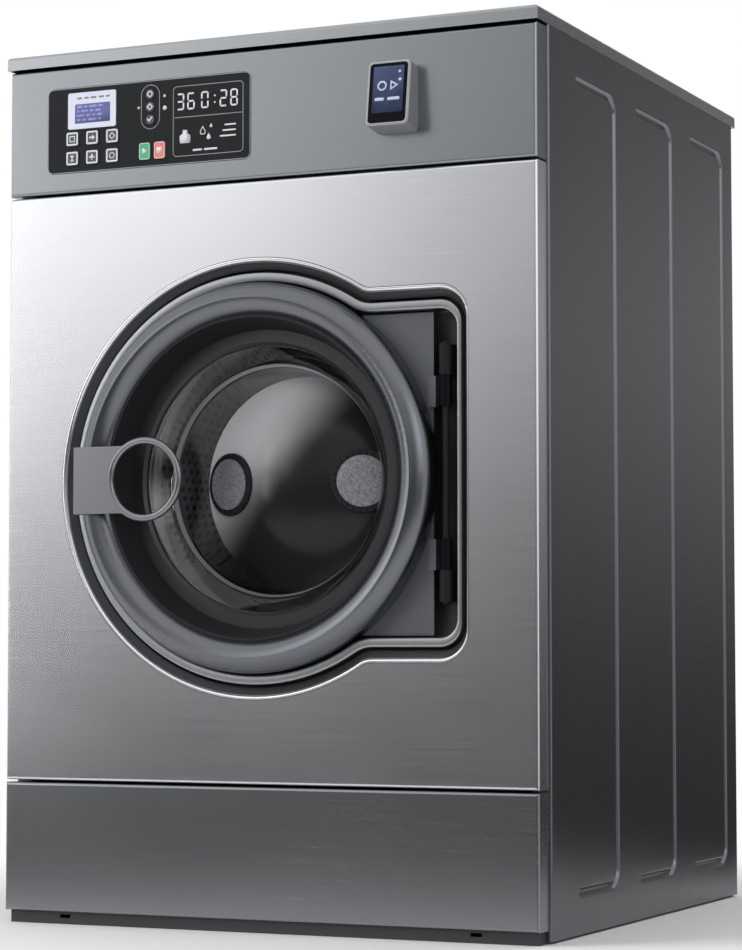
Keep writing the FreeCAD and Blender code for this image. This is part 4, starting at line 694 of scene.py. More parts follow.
def glass_bowl(sizes):
    """The bowl's clear neck and sides, its smoked domed end, and a light satin band at its bend as a
    painted highlight.
    """
    bm = bmesh.new()
    wall = sizes.bowl_wall
    back = FLANGE_DEPTH + FLANGE_THICK
    flange = on_profile(FLANGE_RADIUS, FLANGE_DEPTH)
    centre, lean = dome_centre(sizes)
    through = Vector((0, wall, 0))
    pen = Pen(bm, flange)
    pen.line(on_profile(MOUTH_RADIUS, FLANGE_DEPTH), on_profile(NECK_RADIUS, NECK_DEPTH),
             on_profile(sizes.dome_edge, sizes.dome_depth))
    pen.arc(centre, UP, -math.degrees(lean), 24)
    pen.line(pen.tip.co + through)
    pen.arc(centre + through, UP, math.degrees(lean), 24)
    pen.line(on_profile(sizes.dome_edge + wall, sizes.dome_depth + 0.0045),
             on_profile(NECK_RADIUS + wall, NECK_DEPTH + 0.003), on_profile(MOUTH_RADIUS + wall, back),
             on_profile(FLANGE_RADIUS, back), flange)
    spin_round(bm, pen.close())
    bend = soften(bm, ring_edges(bm, NECK_RADIUS, NECK_DEPTH), NECK_ROUND, 6)["faces"]
    soften(bm, ring_edges(bm, MOUTH_RADIUS, FLANGE_DEPTH), MOUTH_ROUND)
    rim_y = FRONT + NECK_DEPTH
    # Painted highlight: a light satin band on the middle of the bend stands in for the glass's highlight
    # there
    give([face for face in bend if abs(face.calc_center_median().y - rim_y) < sizes.bend_highlight_width], BEND_HIGHLIGHT)
    for face in bm.faces:
        middle = face.calc_center_median()
        if middle.y > FRONT + 0.1 and from_axis(middle) < sizes.dome_edge - 0.0005:
            face.material_index = SMOKED
    return bm


# Bowl pads

SPECKLED, SEAT = range(2)
SEAT_HEIGHT = 0.0018
PAD_HEIGHT = 0.004
PAD_EDGE = 0.0012
PAD_LIFT = 0.0004
SEAT_BEADS = 26


def raised_disc(bm, place, radius, sunk, height, index):
    """A disc with a rounded rim that stands out of a curved seat."""
    upright = Matrix.Translation(place + Vector((0, sunk, 0))) @ Matrix.Rotation(math.pi / 2, 4, "X")
    disc = bmesh.ops.create_circle(bm, cap_ends=True, segments=64, radius=radius, matrix=upright)["verts"]
    faces = list({face for vert in disc for face in vert.link_faces})
    give(faces, index)
    run = bmesh.ops.extrude_face_region(bm, geom=faces)
    bmesh.ops.translate(bm, vec=(0, -sunk - height, 0), verts=made_verts(run))
    soften(bm, of_kind(run["geom"], bmesh.types.BMEdge), PAD_EDGE)


def bowl_pads(sizes):
    """Two speckled discs on the dome, each in a dark beaded seat."""
    bm = bmesh.new()
    centre, _ = dome_centre(sizes)
    seat = centre - Vector((0, sizes.dome_radius + PAD_LIFT, 0))
    sunk = sizes.dome_radius - math.sqrt(sizes.dome_radius ** 2 - sizes.pad_radius ** 2)
    bead = seat + Vector((sizes.pad_radius - sizes.pad_rim / 2, 0, 0))
    bmesh.ops.create_uvsphere(bm, u_segments=8, v_segments=6, radius=0.4 * sizes.pad_rim,
                              matrix=Matrix.Translation(bead))
    sweep(bm, everything(bm), seat, INWARD, 2 * math.pi, SEAT_BEADS, copies=True)
    give(bm.faces, SEAT)
    raised_disc(bm, seat, sizes.pad_radius, sunk, SEAT_HEIGHT, SEAT)
    raised_disc(bm, seat, sizes.pad_radius - sizes.pad_rim, sunk, PAD_HEIGHT, SPECKLED)
    bmesh.ops.recalc_face_normals(bm, faces=bm.faces)
    tilt = math.asin(sizes.pad_offset / sizes.dome_radius)
    right = made_verts(bmesh.ops.duplicate(bm, geom=everything(bm)))
    left = list(set(bm.verts) - set(right))
    for verts, turn in ((left, -tilt), (right, tilt)):
        bmesh.ops.rotate(bm, cent=centre, matrix=Matrix.Rotation(turn, 3, "Z"), verts=verts)
    return bm


# Drum

DRUM_WALL = 0.003
DRUM_MOUTH = 0.212
# Material slot of the painted shade on the drum's outside
DRUM_PAINTED_SHADE = 1
FRONT_MARGIN = 0.012
REAR_MARGIN = 0.006


def perforations(bm, sizes, inner, first, pitch):
    """The perforated wall: one cell with its hole, repeated along the drum and round it."""
    half = math.pi * inner / sizes.hole_columns
    cell = Pen(bm, (inner, first, -half))
    for along, around in ((0, 0), (0, half), (pitch / 2, half), (pitch, half), (pitch, 0), (pitch, -half),
                          (pitch / 2, -half), (0, -half)):
        cell.line((inner, first + along, around))
    cell_edges = cell.close()
    hole = Pen(bm, (inner, first + pitch / 2 - sizes.hole_radius, 0))
    hole.arc((inner, first + pitch / 2, 0), RIGHT, 360, 8)
    bmesh.ops.bridge_loops(bm, edges=cell_edges + hole.close())
    axis = Vector((0, 0, 0))
    sweep(bm, everything(bm), axis, INWARD, 0, sizes.hole_rows - 1, copies=True, shift=(0, pitch, 0))
    bmesh.ops.remove_doubles(bm, verts=bm.verts, dist=TOUCH)
    twin = made_verts(bmesh.ops.duplicate(bm, geom=everything(bm)))
    step = Matrix.Rotation(2 * math.pi / sizes.hole_columns, 3, "Y")
    bmesh.ops.rotate(bm, cent=axis, matrix=step, verts=twin)
    bmesh.ops.translate(bm, vec=(0, pitch / 2, 0), verts=twin)
    sweep(bm, everything(bm), axis, INWARD, 2 * math.pi, sizes.hole_columns // 2, copies=True)
    bmesh.ops.translate(bm, vec=(DOOR.x, 0, DOOR.z), verts=bm.verts)


def drum_shell(sizes):
    """The perforated drum wall, its front wall and the rolled lip at its mouth."""
    low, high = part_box("drum_shell")
    outer = (high.x - low.x) / 2
    inner = outer - DRUM_WALL
    first = low.y + FRONT_MARGIN
    pitch = (high.y - first - REAR_MARGIN) / (sizes.hole_rows + 0.5)
    bm = bmesh.new()
    perforations(bm, sizes, inner, first, pitch)
    face, back = low.y - FRONT, high.y - FRONT
    overlap = pitch / 2 + 0.0002
    mouth = DRUM_MOUTH
    wall_start = on_profile(inner, face + FRONT_MARGIN + overlap)
    section = [(inner, face + DRUM_WALL), (mouth + 0.006, face + DRUM_WALL), (mouth + 0.0042, face + 0.006),
               (mouth + 0.003, face + 0.012), (mouth, face + 0.012), (mouth + 0.0006, face + 0.005),
               (mouth + 0.003, face + 0.001), (mouth + 0.007, face), (outer, face), (outer, back),
               (inner, back), (inner, back - REAR_MARGIN - overlap)]
    pen = Pen(bm, wall_start)
    pen.line(*[on_profile(*point) for point in section])
    wire = [edge for edge in bm.edges if not edge.link_faces and edge not in pen.known]
    spin_round(bm, wire, sizes.hole_columns)
    # Painted shade: the outside of the drum gets a near black finish, so its holes look dark
    give([item for item in bm.faces if from_axis(item.calc_center_median()) > outer - 0.001], DRUM_PAINTED_SHADE)
    return bm


# Pull handle

STRAP_EDGE = 0.0018
PIN_LIFT = 0.005
ARM_SUNK = 0.002


def raise_face(bm, edges, way):
    """Fill an outline and draw it out to a solid."""
    face = bmesh.ops.contextual_create(bm, geom=edges)["faces"]
    run = bmesh.ops.extrude_face_region(bm, geom=face)
    bmesh.ops.translate(bm, vec=way, verts=made_verts(run))
    bmesh.ops.recalc_face_normals(bm, faces=bm.faces)


def pull_handle(sizes):
    """Strap, loop and hinge eye of the pull handle."""
    low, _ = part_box("handle")
    bm = bmesh.new()
    loop_x = DOOR.x - sizes.loop_offset
    middle = low.y + sizes.loop_wire
    back = middle + sizes.strap_thick / 2
    half = sizes.strap_half
    top, bottom = DOOR.z + half, DOOR.z - half
    cut = math.asin(half / sizes.loop_radius)
    meet = sizes.loop_radius * math.cos(cut)
    strap = Pen(bm, (low.x, back, top))
    strap.line((low.x, back, bottom), (loop_x - meet, back, bottom))
    strap.arc((loop_x, back, DOOR.z), INWARD, 2 * math.degrees(cut), 24)
    strap.line((low.x, back, top))
    raise_face(bm, strap.close(), (0, -sizes.strap_thick, 0))
    soften(bm, [edge for edge in bm.edges if edge.calc_face_angle(0) > math.radians(40)], STRAP_EDGE)
    section = Pen(bm, (loop_x - sizes.loop_radius - sizes.loop_wire, middle, DOOR.z))
    section.arc((loop_x - sizes.loop_radius, middle, DOOR.z), UP, 360, 20)
    sweep(bm, with_ends(section.close()), (loop_x, 0, DOOR.z), INWARD, 2 * math.pi, 72, merge=True)
    pin = Vector((DOOR.x - sizes.handle_pin, FRONT - PIN_LIFT, bottom))
    left, right = pin.x - sizes.handle_eye, pin.x + sizes.handle_eye
    root = back - ARM_SUNK
    arm = Pen(bm, (left, root, bottom))
    arm.line((left, pin.y, bottom))
    arm.arc(pin, UP, 180, 16)
    arm.line((right, root, bottom), (left, root, bottom))
    raise_face(bm, arm.close(), (0, 0, 2 * half))
    return bm


# Prints

SIGNS = {
    "square": [(-1, -1), (1, -1), (1, 1), (-1, 1)],
    "diamond": [(0, -1.2), (1.2, 0), (0, 1.2), (-1.2, 0)],
    "octagon": [(-0.4, -1), (0.4, -1), (1, -0.4), (1, 0.4), (0.4, 1), (-0.4, 1), (-1, 0.4), (-1, -0.4)],
    "triangle": [(-0.8, -1.1), (1.1, 0), (-0.8, 1.1)],
    "plus": [(-0.3, -1), (0.3, -1), (0.3, -0.3), (1, -0.3), (1, 0.3), (0.3, 0.3), (0.3, 1), (-0.3, 1),
             (-0.3, 0.3), (-1, 0.3), (-1, -0.3), (-0.3, -0.3)],
    "tick": [(-1, 0.1), (-0.3, -0.9), (1.1, 0.7), (0.7, 1.05), (-0.3, -0.15), (-0.65, 0.4)],
    "arrow": [(-1, -0.3), (0.1, -0.3), (0.1, -0.9), (1.1, 0), (0.1, 0.9), (0.1, 0.3), (-1, 0.3)],
    "hourglass": [(-0.8, -1), (0.8, -1), (0.15, 0), (0.8, 1), (-0.8, 1), (-0.15, 0)],
    "drop": [(-0.45, -0.95), (0.45, -0.95), (0.8, -0.5), (0.7, 0), (0, 1.2), (-0.7, 0), (-0.8, -0.5)],
    "bottle": [(-0.8, -1), (0.8, -1), (0.95, -0.7), (0.95, 0.2), (0.4, 0.6), (0.4, 1.1), (-0.4, 1.1),
               (-0.4, 0.6), (-0.95, 0.2), (-0.95, -0.7)],
}
SEGMENTS = {"0": "abcdef", "2": "abged", "3": "abgcd", "6": "afgedc", "8": "abcdefg"}


def rounded_loop(bm, middle, width, height, corner):
    """A rounded rectangle, upright and facing the front."""
    right = width / 2 - corner
    top = height / 2 - corner

    def at(x, z):
        return middle + Vector((x, 0, z))

    pen = Pen(bm, at(right + corner, -top))
    for x, z, out, up in ((right, top, 1, 0), (-right, top, 0, 1), (-right, -top, -1, 0),
                          (right, -top, 0, -1)):
        pen.line(at(x + out * corner, z + up * corner))
        pen.arc(at(x, z), OUTWARD, 90, 6)
    return pen.close()


def filled(bm, edges, index=0):
    """Fill an outline."""
    give(bmesh.ops.contextual_create(bm, geom=edges)["faces"], index)


def bar(bm, middle, width, height, index=0):
    """A short printed bar."""
    filled(bm, rounded_loop(bm, middle, width, height, 0.3 * min(width, height)), index)


def outline(bm, middle, width, height, corner, line, index=0):
    """A printed outline of a rounded rectangle."""
    outer = rounded_loop(bm, middle, width, height, corner)
    inner = rounded_loop(bm, middle, width - 2 * line, height - 2 * line, corner - line)
    give(made_faces(bmesh.ops.triangle_fill(bm, edges=outer + inner, use_beauty=True)), index)


def sign(bm, name, middle, size, line=0.0, index=0):
    """A printed sign, solid or as an outline of one line's width."""
    points = [middle + Vector((x * size, 0, z * size)) for x, z in SIGNS[name]]
    pen = Pen(bm, points[0])
    pen.line(*points[1:], points[0])
    face = bmesh.ops.contextual_create(bm, geom=pen.close())["faces"][0]
    face.material_index = index
    if line:
        bmesh.ops.inset_individual(bm, faces=[face], thickness=line, depth=0, use_even_offset=True)
        bmesh.ops.delete(bm, geom=[face], context="FACES")


def digit(bm, figure, middle, width, height, line):
    """A seven-segment figure."""
    high = height / 4
    side = width / 2 - line / 2
    upright = height / 2 - 1.3 * line
    across = width - 1.3 * line
    bars = {
        "a": (0, 2 * high - line / 2, across, line),
        "g": (0, 0, across, line),
        "d": (0, line / 2 - 2 * high, across, line),
        "b": (side, high, line, upright),
        "c": (side, -high, line, upright),
        "f": (-side, high, line, upright),
        "e": (-side, -high, line, upright),
    }
    for letter in SEGMENTS[figure]:
        x, z, wide, tall = bars[letter]
        bar(bm, middle + Vector((x, 0, z)), wide, tall)


def printed(name, bm, body, materials):
    """Finish a flat print as a thin film that stands just off its carrier."""
    bmesh.ops.recalc_face_normals(bm, faces=bm.faces)
    for face in bm.faces:
        if face.normal.dot(OUTWARD) < 0:
            face.normal_flip()
    made = piece(name, bm, body, materials)
    thicken(made, FILM)
    return made


# Stage: each wall's glow is a share by the height and by the side that it is seen at

FLOOR_RADIUS = 1.4
FADE_START, FADE_END = 0.5, 1.35
SOFT_LIGHT = (0.42, 0.42, 0.43, 1)
WHITE = (1, 1, 1, 1)
WALL_RADIUS = 20
WALL_FOOT, WALL_TOP = -5.4, 12
WALL_GLOW = 2.4
WALL_ACROSS = [(-1, 0.6), (-0.56, 0.6), (-0.5, 0.8), (-0.45, 0.76), (-0.36, 0.25), (-0.2, 0.2), (0.1, 0.3),
               (0.28, 0.36), (0.38, 0.2), (0.6, 0.24), (0.78, 0.8), (1, 1)]
WALL_LOW = [(-1, 0.5), (-0.25, 0.45), (-0.17, 0.14), (-0.11, 0.03)]
FRONT_CLIMB = WALL_LOW + [(0, 0.05), (0.02, 0.1), (0.08, 0.3), (0.15, 0.57), (0.22, 0.82), (0.33, 1),
                          (0.5, 1), (1, 0.65)]
SIDE_CLIMB = WALL_LOW + [(-0.06, 0.05), (0.01, 0.14), (0.08, 0.36), (0.15, 0.62), (0.18, 0.6), (0.24, 0.3),
                         (0.4, 0.28), (1, 0.28)]
LAMP_AIM = Vector((0, -0.1, 0.6))
LAMPS = [
    ("key_softbox", (-2.6, -2.6, 2.9), 2.2, 2.2, 115),
    ("top_softbox", (0.2, 0.4, 3.4), 2.4, 2.4, 60),
    ("strip_softbox", (-2.3, -2.65, 1.0), 0.22, 1.6, 6),
    ("fill_softbox", (1.9, -3.4, 1.2), 1.2, 1.2, 40),
]


def stand(scene, name, bm, material):
    """Stand a piece of the stage in the scene."""
    mesh = bpy.data.meshes.new(name)
    bm.to_mesh(mesh)
    bm.free()
    mesh.materials.append(material)
    made = bpy.data.objects.new(name, mesh)
    scene.collection.objects.link(made)
    return made


# Operators

class WASHER_OT_stage(bpy.types.Operator):
    """Floor, soft light and the camera"""

    bl_idname = "washer.stage"
    bl_label = "Stage"

    def execute(self, context):
        look = context.scene.washer_stage
        scene = context.scene
        scene.view_settings.view_transform = "Standard"
        self.camera(scene, look)
        self.floor(scene, look)
        self.world(scene)
        self.wall(scene, "front_wall", 202, 146, FRONT_CLIMB)
        self.wall(scene, "side_wall", 14, 74, SIDE_CLIMB)
        self.lamps(scene)
        return {"FINISHED"}

    def camera(self, scene, look):
        """The camera at its eye, turned and tilted from straight ahead."""
        data = bpy.data.cameras.new("camera")
        data.lens = look.lens
        data.sensor_width = 36
        data.clip_end = 60
        camera = bpy.data.objects.new("camera", data)
        level = math.cos(look.pitch)
        ahead = Vector((-math.sin(look.yaw) * level, math.cos(look.yaw) * level, math.sin(look.pitch)))
        camera.rotation_euler = ahead.to_track_quat("-Z", "Y").to_euler()
        camera.location = look.eye
        scene.collection.objects.link(camera)
        scene.camera = camera

    def floor(self, scene, look):
        """A pale disc that fades into the white round it."""
        bm = bmesh.new()
        bmesh.ops.create_circle(bm, cap_ends=True, segments=96, radius=FLOOR_RADIUS)
        material, tree, shader = new_material("Studio floor")
        far = add_node(tree, "ShaderNodeVectorMath", {0: object_place(tree)}, operation="LENGTH")
        limits = {"Value": far.outputs["Value"], "From Min": FADE_START, "From Max": FADE_END, "To Min": 1,
                  "To Max": 0}
        fade = add_node(tree, "ShaderNodeMapRange", limits, interpolation_type="SMOOTHSTEP")
        connect(tree, shader, {"Base Color": (*look.floor_pale, 1), "Roughness": 0.8,
                               "Specular IOR Level": 0.1, "Alpha": fade.outputs["Result"]})
        floor = stand(scene, "studio_floor", bm, material)

    def world(self, scene):
        """White to the camera, to metal and to glass, and a soft even light on everything else."""
        world = bpy.data.worlds.new("studio")
        scene.world = world
        world.use_nodes = True
        tree = world.node_tree
        tree.nodes.clear()
        path = add_node(tree, "ShaderNodeLightPath", {}).outputs
        mirrored = calculate(tree, "MAXIMUM", path["Is Glossy Ray"], path["Is Transmission Ray"])
        seen = calculate(tree, "MAXIMUM", path["Is Camera Ray"], mirrored)
        shown = blend_colour(tree, seen, SOFT_LIGHT, WHITE)
        background = add_node(tree, "ShaderNodeBackground", {"Color": shown})
        add_node(tree, "ShaderNodeOutputWorld", {"Surface": background.outputs["Background"]})

    def wall(self, scene, name, start, sweep_degrees, climb):
        """A graded studio wall that the steel mirrors, out of the camera's sight."""
        bm = bmesh.new()
        near = Matrix.Rotation(math.radians(start), 3, "Z") @ Vector((WALL_RADIUS, 0, 0))
        ends = [bm.verts.new(near + z * UP) for z in (WALL_FOOT, WALL_TOP)]
        sweep(bm, [*ends, bm.edges.new(ends)], (0, 0, 0), UP, math.radians(sweep_degrees), 32)
        material, tree, _ = new_material(name.replace("_", " ").capitalize())
        tree.nodes.clear()
        heading = add_node(tree, "ShaderNodeVectorMath", {0: object_place(tree)}, operation="NORMALIZE")
        axes = axes_of(tree, heading.outputs["Vector"])
        by_height = ramp(tree, axes["Z"], climb)
        by_side = ramp(tree, axes["X"], WALL_ACROSS)
        shade = calculate(tree, "MULTIPLY", by_height, by_side)
        strength = calculate(tree, "MULTIPLY", shade, WALL_GLOW)
        glow = add_node(tree, "ShaderNodeEmission", {"Strength": strength})
        add_node(tree, "ShaderNodeOutputMaterial", {"Surface": glow.outputs["Emission"]})
        wall = stand(scene, name, bm, material)
        wall.visible_camera = False
        wall.visible_diffuse = False
        wall.visible_shadow = False

    def lamps(self, scene):
        """Softboxes round the machine, of which the metal mirrors the strip alone."""
        for name, place, width, height, power in LAMPS:
            data = bpy.data.lights.new(name, "AREA")
            data.shape = "RECTANGLE"
            data.size = width
            data.size_y = height
            data.energy = power
            lamp = bpy.data.objects.new(name, data)
            lamp.location = place
            lamp.rotation_euler = (LAMP_AIM - Vector(place)).to_track_quat("-Z", "Y").to_euler()
            lamp.visible_glossy = name == "strip_softbox"
            scene.collection.objects.link(lamp)


class WASHER_OT_cabinet(bpy.types.Operator):
    """Front, fascia, kick panel, lid, rear and base of the cabinet"""

    bl_idname = "washer.cabinet"
    bl_label = "Cabinet"

    def execute(self, context):
        look = context.scene.washer_cabinet
        for name, steel, roughness, contrast, cloud, solid in (
            ("Front steel", look.front_steel, 0.21, 0.14, 0.04, "front_panel"),
            ("Fascia steel", look.fascia_steel, 0.26, 0.12, 0.03, "fascia_panel"),
            ("Kick steel", look.kick_steel, 0.26, 0.12, 0.03, "kick_panel"),
            ("Lid steel", look.lid_steel, 0.28, 0.12, 0.04, "top_lid"),
        ):
            dress(finish(name, steel, roughness, 1.0, BRUSHED_ACROSS, contrast, cloud, 0.06, 0.0005), solid)
        dress(finish("Zinc sheet", (0.4, 0.41, 0.42), 0.45, 1.0, SPANGLED, 0.3, 0.2, 0.2, 0.03),
              "rear_panel")
        dress(finish("Machined steel", (0.5, 0.51, 0.52), 0.3, 1.0, EVEN_COARSE, 0.1, 0.1, 0.1, 0.03),
              "rear_screws", "handle_pin", "shaft_bearings", "drum_shaft", "motor_shaft")
        dress(finish("Blackened steel", (0.05, 0.05, 0.053), 0.4, 1.0, EVEN_COARSE, 0.1, 0.1, 0.1, 0.03),
              "latch_tongue", "lock_bolt")
        dress(finish("Frame paint", (0.03, 0.03, 0.033), 0.5, 0, EVEN_COARSE, 0.2, 0.2, 0.1, 0.1),
              "base_frame", "tub_saddles", "motor_bracket", "bearing_housing", "motor_housing")
        dress(finish("Tub steel", (0.35, 0.36, 0.37), 0.4, 1.0, BRUSHED_ACROSS, 0.1, 0.1, 0.1, 0.04),
              "tub_shell", "tub_front", "tub_back")
        dress(finish("Pulley iron", (0.12, 0.12, 0.13), 0.45, 1.0, EVEN_COARSE, 0.3, 0.2, 0.2, 0.15),
              "drum_pulley", "motor_pulley")
        dress(finish("Black rubber", (0.015, 0.015, 0.016), 0.7, 0, EVEN_COARSE, 0.3, 0.2, 0.1, 0.1),
              "tub_gasket", "drive_belt", "water_hoses")
        dress(finish("Black plastic", (0.02, 0.02, 0.021), 0.45, 0, EVEN_COARSE, 0.2, 0.2, 0.1, 0.1),
              "lock_housing", "inlet_valves", "drain_valve", "power_box")
        return {"FINISHED"}


class WASHER_OT_sides(bpy.types.Operator):
    """Side panels with their pressed beads"""

    bl_idname = "washer.sides"
    bl_label = "Side panels"

    def execute(self, context):
        look = context.scene.washer_cabinet
        paint = finish("Charcoal coat", look.side_paint, 0.28, 1.0, EVEN_FINE, 0.12, 0.06, 0.05, 0.04)
        for name in ("right_side_panel", "left_side_panel"):
            bm = side_panel(look)
            if name == "left_side_panel":
                bmesh.ops.scale(bm, vec=(-1, 1, 1), verts=bm.verts)
                bmesh.ops.recalc_face_normals(bm, faces=bm.faces)
                towards(bm, -RIGHT)
            made = piece(f"{name}_sheet", bm, "cabinet", [paint], [name], 40)
            thicken(made, look.sheet)
            even_normals(made)
        return {"FINISHED"}


class WASHER_OT_surround(bpy.types.Operator):
    """Moulded surround of the door with its rolled steel edge"""

    bl_idname = "washer.surround"
    bl_label = "Door surround"

    def execute(self, context):
        look = context.scene.washer_door
        grey = finish("Surround grey", look.surround_grey, 0.3, 0.6, EVEN_FINE, 0.1, 0.1, 0.06, 0.04)
        rolled = finish("Rolled steel", look.rolled_steel, 0.2, 1.0, EVEN_FINE, 0.05, 0.05, 0.05, 0.02)
        rim = finish("Rim satin", look.rim_grey, 0.35, 1.0, EVEN_FINE, 0.05, 0.05, 0.05, 0.02)
        black = finish("Lining black", look.lining_black, 0.5, 0, EVEN_FINE, 0.2, 0.1, 0.1, 0.05)
        made = piece("surround_moulding", surround(look), "cabinet", [grey, rolled, black, rim],
                     ["door_surround"], 40)
        thicken(made, SURROUND_SHEET)
        return {"FINISHED"}


class WASHER_OT_door(bpy.types.Operator):
    """Door ring, lining, clamp ring, glass bowl, hinge plate and handle"""

    bl_idname = "washer.door"
    bl_label = "Door"

    def execute(self, context):
        look = context.scene.washer_door
        satin = (1.0, EVEN_FINE, 0.08, 0.06, 0.06, 0.05)
        dress(finish("Door metal", look.metal, 0.28, *satin), "door_ring")
        plate = finish("Hinge metal", look.metal, 0.5, *satin)
        tree = plate.node_tree
        across = axes_of(tree, object_place(tree))["X"]
        beyond = calculate(tree, "GREATER_THAN", across, RING_HIGH.x + 0.0005)
        tint_where(plate, beyond, look.lining_black)
        dress(plate, "hinge_plate")
        black = finish("Funnel black", look.lining_black, 0.5, specular=0.3)
        dress(black, "door_funnel")
        dress(finish("Hinge black", look.lining_black, 0.5, specular=0.15), "hinge_bracket", "hinge_pin")
        dress(finish("Clamp grey", look.clamp_grey, 0.38, 0.8), "glass_clamp_ring")
        grip = finish("Handle metal", look.handle_metal, 0.32, *satin)
        handle = piece("handle_casting", pull_handle(look), "handle", [grip], ["handle"], 40)
        even_normals(handle)
        speckled = finish("Pad grey", look.pad_grey, 0.6, 0, EVEN_COARSE, 2.4, 0.1)
        piece("bowl_pad_pair", bowl_pads(look), "door", [speckled, black], ["bowl_pads"], 50)
        # Painted highlight: light satin finish for the band at the bowl's bend
        ground = finish("Ground rim", look.bend_highlight, 0.35, 0.8, EVEN_FINE, 0.1, 0.1, 0.05, 0.02)
        glasses = [clear_glass("Clear glass"), self.smoked(look), ground]
        piece("bowl_glass", glass_bowl(look), "door", glasses, ["door_bowl"], 30)
        return {"FINISHED"}

    def smoked(self, look):
        """Smoked end of the bowl, which lets some light through, with a painted highlight that lightens its
        upper left shoulder.
        """
        smoke = finish("Smoked dome with painted highlight", look.smoke, 0.2, 0, EVEN_FINE, 0.05, 0.05, 0.02, 0.005, specular=0.25)
        tree = smoke.node_tree
        # Painted highlight: the dome's colour is lightened towards its upper left, where the light falls,
        # by a smooth grade
        axes = axes_of(tree, object_place(tree))
        leftward, upward = 0.75, 0.66
        left = calculate(tree, "MULTIPLY_ADD", axes["X"], -leftward, leftward * DOOR.x)
        up = calculate(tree, "MULTIPLY_ADD", axes["Z"], upward, -upward * DOOR.z)
        limits = {"Value": calculate(tree, "ADD", left, up), "From Min": 0.0,
                  "From Max": 0.8 * look.dome_edge}
        painted_highlight_grade = add_node(tree, "ShaderNodeMapRange", limits, interpolation_type="SMOOTHSTEP")
        tint_where(smoke, painted_highlight_grade.outputs["Result"], look.dome_painted_highlight)
        let_light_through(smoke, 0.45)
        return smoke


class WASHER_OT_drum(bpy.types.Operator):
    """Perforated drum, its back and lifters"""

    bl_idname = "washer.drum"
    bl_label = "Drum"

    def execute(self, context):
        look = context.scene.washer_drum
        brushed = (0.3, BRUSHED_DEEP, 0.08, 0.05, 0.08, 0.03)
        steel = finish("Drum steel", look.steel, 0.45, *brushed)
        dress(steel, "drum_back", "drum_lifters")
        # Painted shade on the drum's outside, seen through its holes
        shade = finish("Drum painted shade", look.hole_painted_shade, 0.6, *brushed)
        piece("drum_perforated", drum_shell(look), "drum", [steel, shade], ["drum_shell"], 30)
        return {"FINISHED"}


